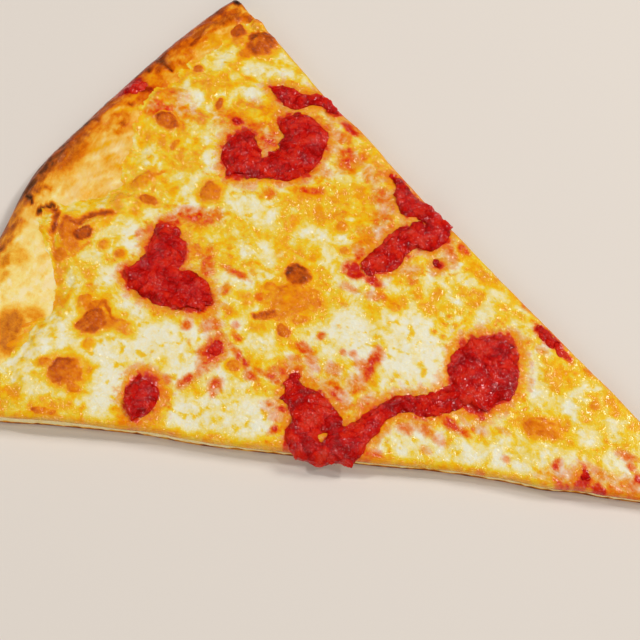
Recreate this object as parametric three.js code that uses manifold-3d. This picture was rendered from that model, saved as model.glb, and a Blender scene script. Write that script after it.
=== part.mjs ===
// A slice of cheese pizza with dollops of tomato sauce: one eighth of a thin 18 inch pie.
//
// Frame: millimetres, +Z up. The slice lies flat on Z = 0. Its point is towards +X, its baked rim
// towards -X, and the line that halves it is the X axis. The origin is on the underside, near the
// middle of the slice. "Upper" below is the +Y side and "lower" the -Y side.
//
// Places on the slice are given in the pie's own terms: a distance from the centre of the pie, an
// angle from the halving line, and a distance in from the rim.

import * as THREE from 'three';
import { mergeVertices } from 'three/addons/utils/BufferGeometryUtils.js';
import Module from 'manifold-3d';

const wasm = await Module();
wasm.setup();

// ---------------------------------------------------------------- driving dimensions, mm

const SLICES_IN_PIE = 8;
const HALF_ANGLE = Math.PI / SLICES_IN_PIE;
const PIE_CENTRE_X = 114.5;           // where the two cuts would meet
const PIE_RADIUS = 225.4;             // mean radius of the baked pie
const RIM_WAVE = [                    // [angle in degrees, how far the rim stands out of the mean circle]
  [-22.5, 0.2], [-15, -0.9], [-8, -1.4], [-2, 1.2], [4.6, -1.1], [12, -0.6], [22, 1.2],
];

const TIP_RADIUS = 4;                 // the point is worn round
const UPPER_INSET = [                 // [distance from the pie's centre, how far the cut runs inside its ideal line]
  [0, 1], [42, 1.3], [58, 2], [83, 2.5], [110, 3.2], [139, 3], [150, 2.6], [168, 3.6],
  [193, 2.4], [206, 2.5], [216, 3.6], [229, 3.4],
];
const LOWER_INSET = [
  [0, 0], [32, -0.2], [40, 0.2], [49, -0.2], [60, 0.7], [80, 1.1], [95, 0.4], [120, 0.2],
  [144, -0.2], [161, 0.6], [180, 0.2], [190, -0.2], [201, -1], [229, -1.2],
];

const DOUGH_AT_TIP = 3.0;             // thickness of the base
const DOUGH_AT_RIM = 4.7;
const RIM_HEIGHT = 9.2;               // highest line of the rim
const RIM_CREST = 6.5;                // that line's distance in from the edge
const RIM_WIDTH = 25;                 // the rim's inner slope ends here
const RIM_EDGE_LOW = 2.0;             // the edge's lower and upper corner
const RIM_EDGE_HIGH = 3.4;
const RIM_LIFT_WIDTH = 5;             // the underside lifts off the table over this width
const RIM_NOSE = 0.7;                 // the edge is rounded out by this much half way up

const CHEESE = 2.1;                   // thickness of the cheese
const CHEESE_EDGE = 1.5;              // the same at the cuts
const CHEESE_FRONT_EDGE = 0.6;        // and where it thins out on the rim
const CHEESE_FRONT_FADE = 12;         // over this distance
const CHEESE_FRONT = [                // [angle in degrees, distance of the cheese's end from the edge]
  [-22.5, 20], [-12, 25], [-9, 23], [-5, 17], [-1, 24], [4, 19], [8, 11], [16, 11], [22.5, 10],
];
const CHEESE_CUT_BACK = 0.4;          // the cheese shrinks back from the cuts by this much
const JOIN_GAP = 0.3;                 // between two pieces that touch

const SAUCE_HEIGHT = 2.9;             // a dollop's height over the cheese
const SAUCE_LIP = 1.3;                // how far it sags where it hangs past a cut
const SAUCE_FULL_WIDTH = 4.5;         // a run of sauce narrower than twice this is lower in proportion
const SAUCE_OVERHANG = 2.2;           // how far the lower dollop hangs past the cut
const END_BLUNTNESS = 0.6;            // of a run's ends: 1 is pointed, 0 is square
const RUN_SIDES = 11;                 // facets round a run of sauce
const ACROSS_COUNT = 18;              // facets across the slice

// Each dollop is one or more overlapping runs of sauce. A run is a smooth path through
// [x, y, half width] points.
const DOLLOPS = {
  sauce_upper: {
    pastCut: 0,
    runs: [
      [[-54, 48, 5.8], [-46, 46, 7.6], [-42, 40, 6.2], [-43.5, 33.5, 5], [-49.5, 29, 4.6], [-55, 25, 4.4]],
      [[-62, 37, 4.8], [-59.5, 31, 6], [-55, 22.4, 4.4]],
    ],
  },
  sauce_upper_edge: {
    pastCut: -0.2,
    runs: [
      [[-65, 56.6, 1.8], [-59.5, 57, 2.9], [-54.5, 56, 3], [-50.5, 59, 2.5], [-45.5, 60.5, 2.9], [-40, 58.4, 1.8]],
    ],
  },
  sauce_right_edge: {
    pastCut: 0.3,
    runs: [
      [
        [-14.8, 46.6, 1.5], [-9.6, 45, 2.8], [-4.4, 40.4, 4.3], [1.6, 40.4, 3.2], [6.8, 37.6, 3.4],
        [7.4, 33.2, 4.2], [2.6, 31, 3.9], [-0.2, 27.8, 4.1], [-0.4, 22.6, 4.7], [-3.8, 16.8, 5.6], [-5, 14, 5],
      ],
    ],
  },
  sauce_left: {
    pastCut: 0,
    runs: [
      [[-66, -3.6, 3], [-60, -11, 5.8], [-58.5, -17, 6], [-59.5, -24.6, 5.4]],
      [[-65, -22.4, 5], [-54, -22, 5.8], [-46, -19, 6.4], [-39.4, -20.4, 4.4]],
    ],
  },
  sauce_small: {
    pastCut: 0,
    runs: [[[-41.4, -48.6, 4.8], [-39.2, -53.6, 4.9], [-39, -59.8, 2.8]]],
  },
  sauce_lower: {
    pastCut: SAUCE_OVERHANG,
    runs: [
      [[40.4, 13, 6], [40, 5, 9.8], [40.6, -2, 9.6], [41.4, -9, 6]],
      [
        [38.5, -2, 5], [36.4, -8.6, 4.6], [33, -13.8, 3.5], [28, -17.2, 3], [23.2, -19.6, 2.6],
        [20.8, -25, 2.6], [18.8, -30.2, 3.4], [17.4, -36, 5.6], [13.4, -41.6, 5.4], [9.6, -43.4, 3.4],
      ],
      [[-5.6, -25.6, 1.2], [-3.6, -30, 3.6], [1.6, -32, 4.8], [7.2, -32.6, 4.4], [13, -34.4, 4]],
      [[-2, -34, 2.2], [2.8, -36.8, 3.4], [4.8, -41.4, 4], [10, -43.4, 4], [16, -43, 3.6], [20, -40, 3]],
    ],
  },
};

// ---------------------------------------------------------------- small helpers

// A smooth curve through [place, value] pairs: a cubic between neighbours, level beyond both ends.
function through(pairs, at) {
  const last = pairs.length - 1;
  if (at <= pairs[0][0]) return pairs[0][1];
  if (at >= pairs[last][0]) return pairs[last][1];
  const slope = (i) => {
    const [before, after] = [pairs[Math.max(i - 1, 0)], pairs[Math.min(i + 1, last)]];
    return (after[1] - before[1]) / (after[0] - before[0]);
  };
  const i = pairs.findIndex(([place]) => place > at) - 1;
  const [[x0, y0], [x1, y1]] = [pairs[i], pairs[i + 1]];
  const part = (at - x0) / (x1 - x0);
  const rest = 1 - part;
  const bend = (slope(i) * rest - slope(i + 1) * part) * (x1 - x0) * part * rest;
  return lerp(y0, y1, part * part * (3 - 2 * part)) + bend;
}

const degrees = THREE.MathUtils.radToDeg;
const lerp = THREE.MathUtils.lerp;
const smoothstep = THREE.MathUtils.smoothstep;

// ---------------------------------------------------------------- the pie's shape

const rimRadius = (angle) => PIE_RADIUS + through(RIM_WAVE, degrees(angle));

// The half angle of the slice at a distance from the pie's centre, on one side, pulled in by extra mm.
function halfAngle(radius, insets, extra = 0) {
  const tipStart = TIP_RADIUS * (1 / Math.sin(HALF_ANGLE) - 1);
  const tipEnd = TIP_RADIUS / Math.tan(HALF_ANGLE) + 2;
  const along = THREE.MathUtils.clamp((radius - tipStart) / (tipEnd - tipStart), 0, 1);
  const rounding = 0.35 + 0.65 * Math.sqrt(along * (2 - along));
  const inset = Math.min(through(insets, radius) + extra, radius * HALF_ANGLE * 0.4);
  return rounding * (HALF_ANGLE - inset / radius);
}

function pieAngle(radius, across, extra) {
  const side = across < 0 ? LOWER_INSET : UPPER_INSET;
  return across * halfAngle(radius, side, extra);
}

const pieX = (radius, angle) => PIE_CENTRE_X - radius * Math.cos(angle);
const pieY = (radius, angle) => radius * Math.sin(angle);

// Top of the dough: a base that thickens towards the rim, and the rim's swelling.
function doughTop(radius, angle) {
  const inFromEdge = Math.max(rimRadius(angle) - radius, 0);
  const base = lerp(DOUGH_AT_TIP, DOUGH_AT_RIM, smoothstep(radius, 20, PIE_RADIUS - RIM_WIDTH));
  const height = RIM_HEIGHT + 0.5 * Math.sin(17 * angle + 0.6) - 0.3 * Math.cos(31 * angle);
  if (inFromEdge < RIM_CREST) {
    const rise = 1 - inFromEdge / RIM_CREST;
    return RIM_EDGE_HIGH + (height - RIM_EDGE_HIGH) * Math.sqrt(1 - rise * rise);
  }
  return lerp(height, base, smoothstep(inFromEdge, RIM_CREST, RIM_WIDTH));
}

// Underside of the dough: flat, and curled up under the rim.
function doughUnder(radius, angle) {
  const curl = 1 - THREE.MathUtils.clamp((rimRadius(angle) - radius) / RIM_LIFT_WIDTH, 0, 1);
  return RIM_EDGE_LOW * (1 - Math.sqrt(1 - curl * curl));
}

// Top of the cheese: an even layer with low waves, thinner at the cuts and at its front on the rim.
function cheeseTop(radius, angle) {
  const toCut = Math.max(radius * (HALF_ANGLE - Math.abs(angle)), 0);
  const body = lerp(CHEESE_EDGE, CHEESE, smoothstep(toCut, 0, 8));
  const x = pieX(radius, angle);
  const y = pieY(radius, angle);
  const waves = 0.22 * Math.sin(x / 9 + 1.1 * Math.sin(y / 13)) + 0.18 * Math.cos(y / 7 + x / 21);
  const fade = smoothstep(cheeseFront(angle) - radius, 0, CHEESE_FRONT_FADE);
  const thickness = lerp(CHEESE_FRONT_EDGE, body + waves, fade);
  return doughTop(radius, angle) + JOIN_GAP + thickness;
}

// ---------------------------------------------------------------- solids

// A closed layer of the slice: a box's grid carried over to the slice's outline. rows(i, angle) is the
// distance of row i from the pie's centre, and level(radius, angle, up) the height of the box's
// bottom (0), middle (0.5) and top (1).
function layer({ rowCount, acrossCount, rows, level, cutBack = 0, nose = 0 }) {
  const geometry = new THREE.BoxGeometry(1, 1, 1, rowCount - 1, acrossCount, 2);
  geometry.deleteAttribute('normal');
  geometry.deleteAttribute('uv');
  const merged = mergeVertices(geometry, 1e-5);
  const place = merged.attributes.position;
  for (let n = 0; n < place.count; n += 1) {
    const row = Math.round((0.5 - place.getX(n)) * (rowCount - 1));
    const across = 2 * place.getY(n);
    const up = place.getZ(n) + 0.5;
    const roughRadius = rows(row, across * HALF_ANGLE);
    const angle = pieAngle(roughRadius, across, cutBack);
    const atEdge = row === rowCount - 1 && up === 0.5;
    const radius = rows(row, angle) + (atEdge ? nose : 0);
    place.setXYZ(n, pieX(radius, angle), pieY(radius, angle), level(rows(row, angle), angle, up));
  }
  return merged;
}

// Rows from the tip to a front line: closer together at the tip and at the front.
function rowSpread(count, frontSteps, front) {
  const start = TIP_RADIUS * (1 / Math.sin(HALF_ANGLE) - 1);
  const tipSteps = [0, 0.8, 2.2, 4.6];
  const middle = count - tipSteps.length - frontSteps.length;
  return (row, angle) => {
    if (row < tipSteps.length) return start + tipSteps[row];
    const fromFront = row - (count - frontSteps.length);
    if (fromFront >= 0) return front(angle) - frontSteps[fromFront];
    const part = (row - tipSteps.length + 1) / (middle + 1);
    return lerp(start + tipSteps.at(-1), front(angle) - frontSteps[0], part);
  };
}

function crustGeometry() {
  const rimSteps = [RIM_WIDTH, 21, 17, 13.5, 10, RIM_CREST, 4, 2.2, 0.9, 0];
  const rowCount = 30;
  const rows = rowSpread(rowCount, rimSteps, rimRadius);
  const level = (radius, angle, up) => lerp(doughUnder(radius, angle), doughTop(radius, angle), up);
  return layer({ rowCount, acrossCount: ACROSS_COUNT, rows, level, nose: RIM_NOSE });
}

const cheeseFront = (angle) => rimRadius(angle) - through(CHEESE_FRONT, degrees(angle));

function cheeseLayer(level, cutBack) {
  const frontSteps = [CHEESE_FRONT_FADE, 7, 3, 0];
  const rowCount = 28;
  const rows = rowSpread(rowCount, frontSteps, cheeseFront);
  return layer({ rowCount, acrossCount: ACROSS_COUNT, rows, level, cutBack });
}

function cheeseGeometry() {
  const level = (radius, angle, up) => (
    lerp(doughTop(radius, angle) + JOIN_GAP, cheeseTop(radius, angle), up)
  );
  return cheeseLayer(level, CHEESE_CUT_BACK);
}

// The cheese with the joint's gap round it and all that is under it, to cut dollops with.
function underSauceGeometry() {
  const level = (radius, angle, up) => lerp(-10, cheeseTop(radius, angle) + JOIN_GAP, up);
  return cheeseLayer(level, CHEESE_CUT_BACK - JOIN_GAP);
}

// A tall prism with the slice's outline, moved out past the cuts by some mm, to cut dollops with.
function outlineGeometry(pastCut) {
  const rowCount = 24;
  const rows = rowSpread(rowCount, [0], rimRadius);
  const level = (radius, angle, up) => lerp(-10, 30, up);
  return layer({ rowCount, acrossCount: 2, rows, level, cutBack: -pastCut });
}

// One run of sauce: a sphere drawn out along the run's path, so that both ends are round, and
// flattened to its height over the cheese and its sag under it. The path's third value is the run's
// half width.
function runGeometry(points) {
  const path = new THREE.CatmullRomCurve3(points.map((point) => new THREE.Vector3(...point)));
  const sphere = new THREE.SphereGeometry(1, RUN_SIDES, 3 * points.length + 1);
  sphere.deleteAttribute('normal');
  sphere.deleteAttribute('uv');
  const merged = mergeVertices(sphere, 1e-5);
  const place = merged.attributes.position;
  for (let n = 0; n < place.count; n += 1) {
    const ring = Math.max(Math.sqrt(1 - place.getY(n) ** 2), 1e-6);
    const fromStart = THREE.MathUtils.clamp(0.5 - place.getY(n) / 2, 0, 1);
    const centre = path.getPointAt(fromStart);
    const ahead = path.getTangentAt(fromStart).setZ(0).normalize();
    const roundEnd = ring ** END_BLUNTNESS;
    const sideways = (place.getX(n) / ring) * centre.z * roundEnd;
    const upright = place.getZ(n) > 0 ? SAUCE_HEIGHT : SAUCE_LIP;
    const narrow = Math.min(1, centre.z / SAUCE_FULL_WIDTH);
    const radius = Math.hypot(PIE_CENTRE_X - centre.x, centre.y);
    const bed = cheeseTop(radius, Math.atan2(centre.y, PIE_CENTRE_X - centre.x));
    const height = (place.getZ(n) / ring) * upright * narrow * roundEnd;
    place.setXYZ(n, centre.x - ahead.y * sideways, centre.y + ahead.x * sideways, bed + height);
  }
  return merged;
}

// ---------------------------------------------------------------- cutting and joining

function solid(geometry) {
  return new wasm.Manifold(new wasm.Mesh({
    numProp: 3,
    vertProperties: new Float32Array(geometry.attributes.position.array),
    triVerts: new Uint32Array(geometry.index.array),
  }));
}

function geometryOf(body) {
  const { vertProperties, triVerts } = body.getMesh();
  const geometry = new THREE.BufferGeometry();
  geometry.setAttribute('position', new THREE.BufferAttribute(vertProperties, 3));
  geometry.setIndex(new THREE.BufferAttribute(triVerts, 1));
  return geometry;
}

// A dollop's runs joined, trimmed where the pie was cut through it, and fitted onto the cheese.
function dollopSolid({ runs, pastCut }) {
  const joined = runs.map((run) => solid(runGeometry(run))).reduce((a, b) => a.add(b));
  return joined.intersect(solid(outlineGeometry(pastCut))).subtract(solid(underSauceGeometry()));
}

// ---------------------------------------------------------------- the scene graph

const BAKED_DOUGH = new THREE.MeshStandardMaterial({ color: 0xd99a4e, roughness: 0.75, metalness: 0 });
const MELTED_CHEESE = new THREE.MeshStandardMaterial({ color: 0xefd37a, roughness: 0.35, metalness: 0 });
const TOMATO_SAUCE = new THREE.MeshStandardMaterial({ color: 0xb3170f, roughness: 0.3, metalness: 0 });

function piece(name, geometry, material) {
  const mesh = new THREE.Mesh(geometry, material);
  mesh.name = name;
  return mesh;
}

const slice = new THREE.Group();
slice.add(piece('crust', crustGeometry(), BAKED_DOUGH));
slice.add(piece('cheese', cheeseGeometry(), MELTED_CHEESE));
for (const [name, dollop] of Object.entries(DOLLOPS)) {
  slice.add(piece(name, geometryOf(dollopSolid(dollop)), TOMATO_SAUCE));
}

export default slice;
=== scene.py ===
"""A slice of cheese pizza with dollops of tomato sauce, lying on a pale table.

The slice is made of three foods: baked dough (crust), melted cheese, and tomato sauce in six
dollops and a few splashes. Every surface is worked out with numpy from the pie's own terms: a
distance from the pie's centre, an angle from the line that halves the slice, and a distance in from
the rim or a cut. Lengths in this file are millimetres of the slice, and MM turns them to metres.
"""

import math

import bmesh
import bpy
import numpy as np
from bpy.props import FloatProperty, FloatVectorProperty, PointerProperty
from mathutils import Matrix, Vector


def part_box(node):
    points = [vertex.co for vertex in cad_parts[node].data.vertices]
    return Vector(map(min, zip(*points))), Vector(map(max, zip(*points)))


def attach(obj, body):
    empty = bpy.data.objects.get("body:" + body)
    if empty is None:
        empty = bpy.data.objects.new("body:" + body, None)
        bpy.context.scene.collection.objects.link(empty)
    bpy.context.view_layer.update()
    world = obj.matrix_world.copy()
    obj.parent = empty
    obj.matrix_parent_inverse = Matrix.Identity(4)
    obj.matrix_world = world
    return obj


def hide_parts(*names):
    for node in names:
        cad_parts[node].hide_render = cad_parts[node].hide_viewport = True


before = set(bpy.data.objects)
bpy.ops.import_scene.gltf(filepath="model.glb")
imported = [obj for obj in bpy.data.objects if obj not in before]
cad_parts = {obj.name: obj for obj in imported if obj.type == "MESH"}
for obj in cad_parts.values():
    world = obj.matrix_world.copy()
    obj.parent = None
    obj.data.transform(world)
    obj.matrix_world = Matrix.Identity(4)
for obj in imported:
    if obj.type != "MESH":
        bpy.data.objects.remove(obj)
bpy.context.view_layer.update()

bl_info = {
    "name": "Pizza Slice",
    "version": (1, 0, 0),
    "blender": (4, 5, 0),
    "location": "3D View > Sidebar > Pizza",
    "description": "Makes a slice of cheese pizza with tomato sauce, and a table to show it on",
    "category": "Object",
}

# ---------------------------------------------------------------- the slice's shape, mm

CRUST_LOW, CRUST_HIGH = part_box("crust")
CRUST_LENGTH = 220.5
MM = (CRUST_HIGH.x - CRUST_LOW.x) / CRUST_LENGTH
TIP_START = 6.45  # the rounded point's distance from where the two cuts would meet
TIP_END = 11.66
PIE_CENTRE_X = CRUST_HIGH.x / MM + TIP_START
HALF_ANGLE = math.pi / 8
PIE_RADIUS = 225.4
# How far the rim stands out past PIE_RADIUS, by degrees from the line that halves the slice.
RIM_WAVE = (
    (-22.5, 0.2), (-15, -0.9), (-8, -1.4), (-2, 1.2), (4.6, -1.1), (12, -0.6), (22, 1.2),
)
# How far each cut runs inside its ideal straight line, by distance from the pie's centre.
UPPER_INSET = (
    (0, 1), (42, 1.3), (58, 2), (83, 2.5), (110, 3.2), (139, 3), (150, 2.6), (168, 3.6),
    (193, 2.4), (206, 2.5), (216, 3.6), (229, 3.4),
)
LOWER_INSET = (
    (0, 0), (32, -0.2), (40, 0.2), (49, -0.2), (60, 0.7), (80, 1.1), (95, 0.4), (120, 0.2),
    (144, -0.2), (161, 0.6), (180, 0.2), (190, -0.2), (201, -1), (229, -1.2),
)
DOUGH_AT_TIP = 3.0  # how thick the base is at the point
DOUGH_AT_RIM = 4.7  # and where the rim begins
RIM_HEIGHT = 9.2
RIM_CREST = 6.5  # from the rim's edge in to its highest line
RIM_WIDTH = 25.0
RIM_EDGE_LOW = 2.0  # the rim's nose lies between these two heights
RIM_EDGE_HIGH = 3.4
RIM_LIFT_WIDTH = 5.0  # how far in from the edge the underside curls up
RIM_NOSE = 0.7  # how far the nose bulges past the edge
# How far short of the rim's edge the cheese stops, by degrees.
CHEESE_FRONT = (
    (-22.5, 20), (-15.6, 22), (-12, 25.5), (-9.4, 21), (-7, 13), (-4.6, 10.6), (-3, 18), (0, 24.5),
    (4, 19), (8, 12), (12, 12), (16, 13.5), (22.5, 13),
)
SAUCE_LIP = 1.3  # how deep a dollop sits in the cheese
SAUCE_PULP = 0.11  # bits of crushed tomato to each square mm
SAUCE_VOXEL = 0.34  # the mesh size at which a dollop is melted into one skin
SPLASH_HEIGHT = 1.5  # splashes are lower than dollops, and made finer
SPLASH_LIP = 1.2
SPLASH_PULP = 0.3
SPLASH_VOXEL = 0.22
SAUCE_FULL_WIDTH = 4.5  # runs narrower than this are lower too
LOWEST_SAUCE = 0.35  # sauce that runs over a cut stops this far over the table
SAUCE_SEED = 300
SPLASH_SEED = 500

# Each dollop: how far it may pass the cut, then runs of [x, y, half width] points.
DOLLOPS = {
    "sauce_upper": (0.0, (
        ((-54, 48, 5.8), (-46, 46, 7.6), (-42, 40, 6.2), (-43.5, 33.5, 5), (-49.5, 29, 4.6),
         (-55, 25, 4.4)),
        ((-62, 37, 4.8), (-59.5, 31, 6), (-55, 22.4, 4.4)),
    )),
    "sauce_upper_edge": (-0.2, (
        ((-65, 56.6, 1.8), (-59.5, 57, 2.9), (-54.5, 56, 3), (-50.5, 59, 2.5), (-45.5, 60.5, 2.9),
         (-40, 58.4, 1.8)),
    )),
    "sauce_right_edge": (0.3, (
        ((-14.8, 46.6, 1.5), (-9.6, 45, 2.8), (-4.4, 40.4, 4.3), (1.6, 40.4, 3.2), (6.8, 37.6, 3.4),
         (7.4, 33.2, 4.2), (2.6, 31, 3.9), (-0.2, 27.8, 4.1), (-0.4, 22.6, 4.7), (-3.8, 16.8, 5.6),
         (-5, 14, 5)),
    )),
    "sauce_left": (0.0, (
        ((-66, -3.6, 3), (-60, -11, 5.8), (-58.5, -17, 6), (-59.5, -24.6, 5.4)),
        ((-65, -22.4, 5), (-54, -22, 5.8), (-46, -19, 6.4), (-39.4, -20.4, 4.4)),
    )),
    "sauce_small": (0.0, (
        ((-41.4, -48.6, 4.8), (-39.2, -53.6, 4.9), (-39, -59.8, 2.8)),
    )),
    "sauce_lower": (2.2, (
        ((40.4, 13, 6), (40, 5, 9.8), (40.6, -2, 9.6), (41.4, -9, 6)),
        ((38.5, -2, 5), (36.4, -8.6, 4.6), (33, -13.8, 3.5), (28, -17.2, 3), (23.2, -19.6, 2.6),
         (20.8, -25, 2.6), (18.8, -30.2, 3.4), (17.4, -36, 5.6), (13.4, -41.6, 5.4), (9.6, -43.4, 3.4)),
        ((-5.6, -25.6, 1.2), (-3.6, -30, 3.6), (1.6, -32, 4.8), (7.2, -32.6, 4.4), (13, -34.4, 4)),
        ((-2, -34, 2.2), (2.8, -36.8, 3.4), (4.8, -41.4, 4), (10, -43.4, 4), (16, -43, 3.6),
         (20, -40, 3)),
    )),
}

# Small splashes of sauce, as runs. The first two lie on the rim and along the upper cut.
SPLASHES = (
    ((-102.6, 37, 1.5), (-101.8, 33.4, 2.7), (-102.6, 29.8, 1.6)),
    ((46.6, 22.6, 0.8), (50.4, 21.4, 2.1), (54.4, 19.6, 1.5), (57.4, 18.2, 0.7)),
    ((-29.6, -28.6, 0.9), (-29.4, -31, 1.7), (-29.2, -33.4, 1)),
    ((76.4, -9.6, 0.5), (77, -11.4, 1), (77.6, -13, 0.5)),
    ((12.2, 26.6, 0.7), (13.6, 26.4, 1)),
    ((-67.6, 40.4, 0.7), (-66.2, 39.8, 1.3)),
)

# Spots on the cheese: x, y, half length, half width, turn in degrees, amount. They all lie
# SPOT_SHIFT away from where they are written, so that a whole pattern can be slid along.
SPOT_SHIFT = (0.6, -1.0)
WHITE_POOLS = (
    (-85, 60, 3, 5.5, -10, 1), (-87, 64, 2.5, 3, 0, 0.7), (-69, 71, 5, 2.5, -15, 0.8),
    (-65, 66, 4, 2, -15, 0.7), (-73, 62, 4.5, 3, 20, 0.9), (-69, 53, 4.5, 2.2, -10, 0.9),
    (-84, 41, 2.6, 4, 10, 1.2), (-89, 43, 1.6, 4, 10, 0.6), (-77, 47.4, 1.4, 1.4, 0, 0.4),
    (-77, 56, 1.5, 2, 0, 0.5), (-67, 25, 2.8, 2.6, 0, 0.9), (-66, 15, 1.8, 6, -10, 0.8),
    (-63, 7, 2, 4, -20, 1), (-70, -1, 3, 2.2, 0, 0.8), (-73, -8, 3, 2, 0, 0.8),
    (-71, -13, 5, 2.5, -35, 1), (-78, -13, 3, 2, 0, 0.6), (-86, 18, 1.8, 2.4, 0, 0.8),
    (-71, 12, 2.5, 3, 0, 0.5), (-75, 33, 4, 3, 0, 0.4), (-79, -24, 2.5, 2.5, 0, 0.6),
    (-70, -26, 3, 3, 0, 0.9), (-78, -32, 3, 2, 0, 0.5), (-69, -47, 4.5, 5, 0, 1),
    (-74, -56, 3, 6, 0, 0.6), (-79, -60, 2.2, 5, 0, 1), (-66, -31, 3, 2, 0, 0.5),
    (-57, -31, 6, 2, 0, 0.7), (-62, -62, 4, 3, 0, 0.8), (-68, -66, 3, 2, 0, 0.8),
    (-50, -38, 10, 5, 15, 1.2), (-43, -34, 6, 4, 0, 1.1), (-58, -47, 5, 4, 0, 1.1),
    (-50, -55, 4.5, 8, 15, 1.2), (-38, -30, 5, 3, 0, 0.9), (-36, -40, 5, 5, 0, 0.8),
    (-33, 5, 4, 3, 0, 0.6), (-45, 15, 8, 4, 0, 0.6), (-40, 13, 6, 3, 0, 0.5),
    (-25, 17, 5, 3, 0, 0.5), (-18, 13, 2, 3, 20, 0.8), (-8, 8, 5, 3, 0, 0.4),
    (0, -5, 6, 5, 0, 1.2), (7, -9, 6, 4, 0, 1.1), (20, -3, 9, 8, 0, 1.3), (16, 5, 7, 4, 0, 1.1),
    (28, -5, 3, 4, 0, 0.9), (-8, -12, 4, 3, 0, 0.8), (13, 22, 2, 4, 0, 0.9),
    (-1, -13, 3, 3, 0, 0.6), (20, 27, 8, 1.6, 0, 0.7), (31, 21, 1.8, 5, 0, 0.8),
    (34, 27, 5, 1.6, 0, 0.6), (12, 30, 3, 2, 0, 0.5), (-25, -38, 5, 4, 0, 0.6),
    (-10, -42, 6, 5, 0, 1), (-26, -51, 5, 4, 0, 1.1), (-12, -46, 6, 3, 0, 0.8),
    (-20, -45, 5, 3, 0, 0.8), (-30, -34, 2.5, 4, 0, 0.5), (30, -26, 4, 4, 0, 0.8),
    (24, -30, 2.2, 3.5, 0, 1), (37, -31, 3, 1.8, 0, 0.6), (44, -23, 5, 3.5, 0, 0.8),
    (37, -24, 4, 3, 0, 0.6), (50, -21, 5, 3, 0, 0.7), (53, 9, 3, 2, 0, 0.7),
    (56, 5, 5, 2.5, 0, 0.6), (67, 13, 4, 1, 40, 0.9), (62, 6, 5, 1.6, 0, 0.6),
    (73, 0, 3.4, 3, 0, 0.8), (74, -8, 4, 3, 0, 0.9), (71, -12, 3, 2, 0, 0.6),
    (84, -3, 4, 2.4, 0, 0.8), (77, 5, 3, 2, 0, 0.5), (85, 6, 3, 1.6, 0, 0.5),
    (42, 18, 4, 1.4, 20, 0.5), (60, -12, 5, 3, 0, 0.4), (64, -17, 4, 2, 0, 0.6),
    (56, -17, 4, 2, 0, 0.6), (-38, -9, 5, 2, 0, 0.7),
    (-36, -14, 4, 2, 0, 0.4), (-25, -14.6, 2, 2, 0, 0.5), (-20, -22, 4, 3, 0, 0.5),
    (-55, 16, 3, 4, 0, 0.5), (-34, 43, 3, 3, 0, 0.5), (-28, 40, 4, 2, 0, 0.5),
    (-38, 33.5, 2.2, 1.6, 0, 0.9), (-43, 58, 3, 1.6, 0, 0.9), (-33, 53, 3, 2, 0, 0.5),
    (-23, 47, 2.5, 1.6, 0, 0.5), (-21, 42, 4, 2, 0, 0.5), (2, 20.5, 2, 2, 0, 0.7),
    (2, 14.5, 1.6, 2, 0, 0.8), (4, 28.5, 1.6, 1.6, 0, 0.8), (48, -8, 4, 2, 0, 0.6),
)
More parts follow.
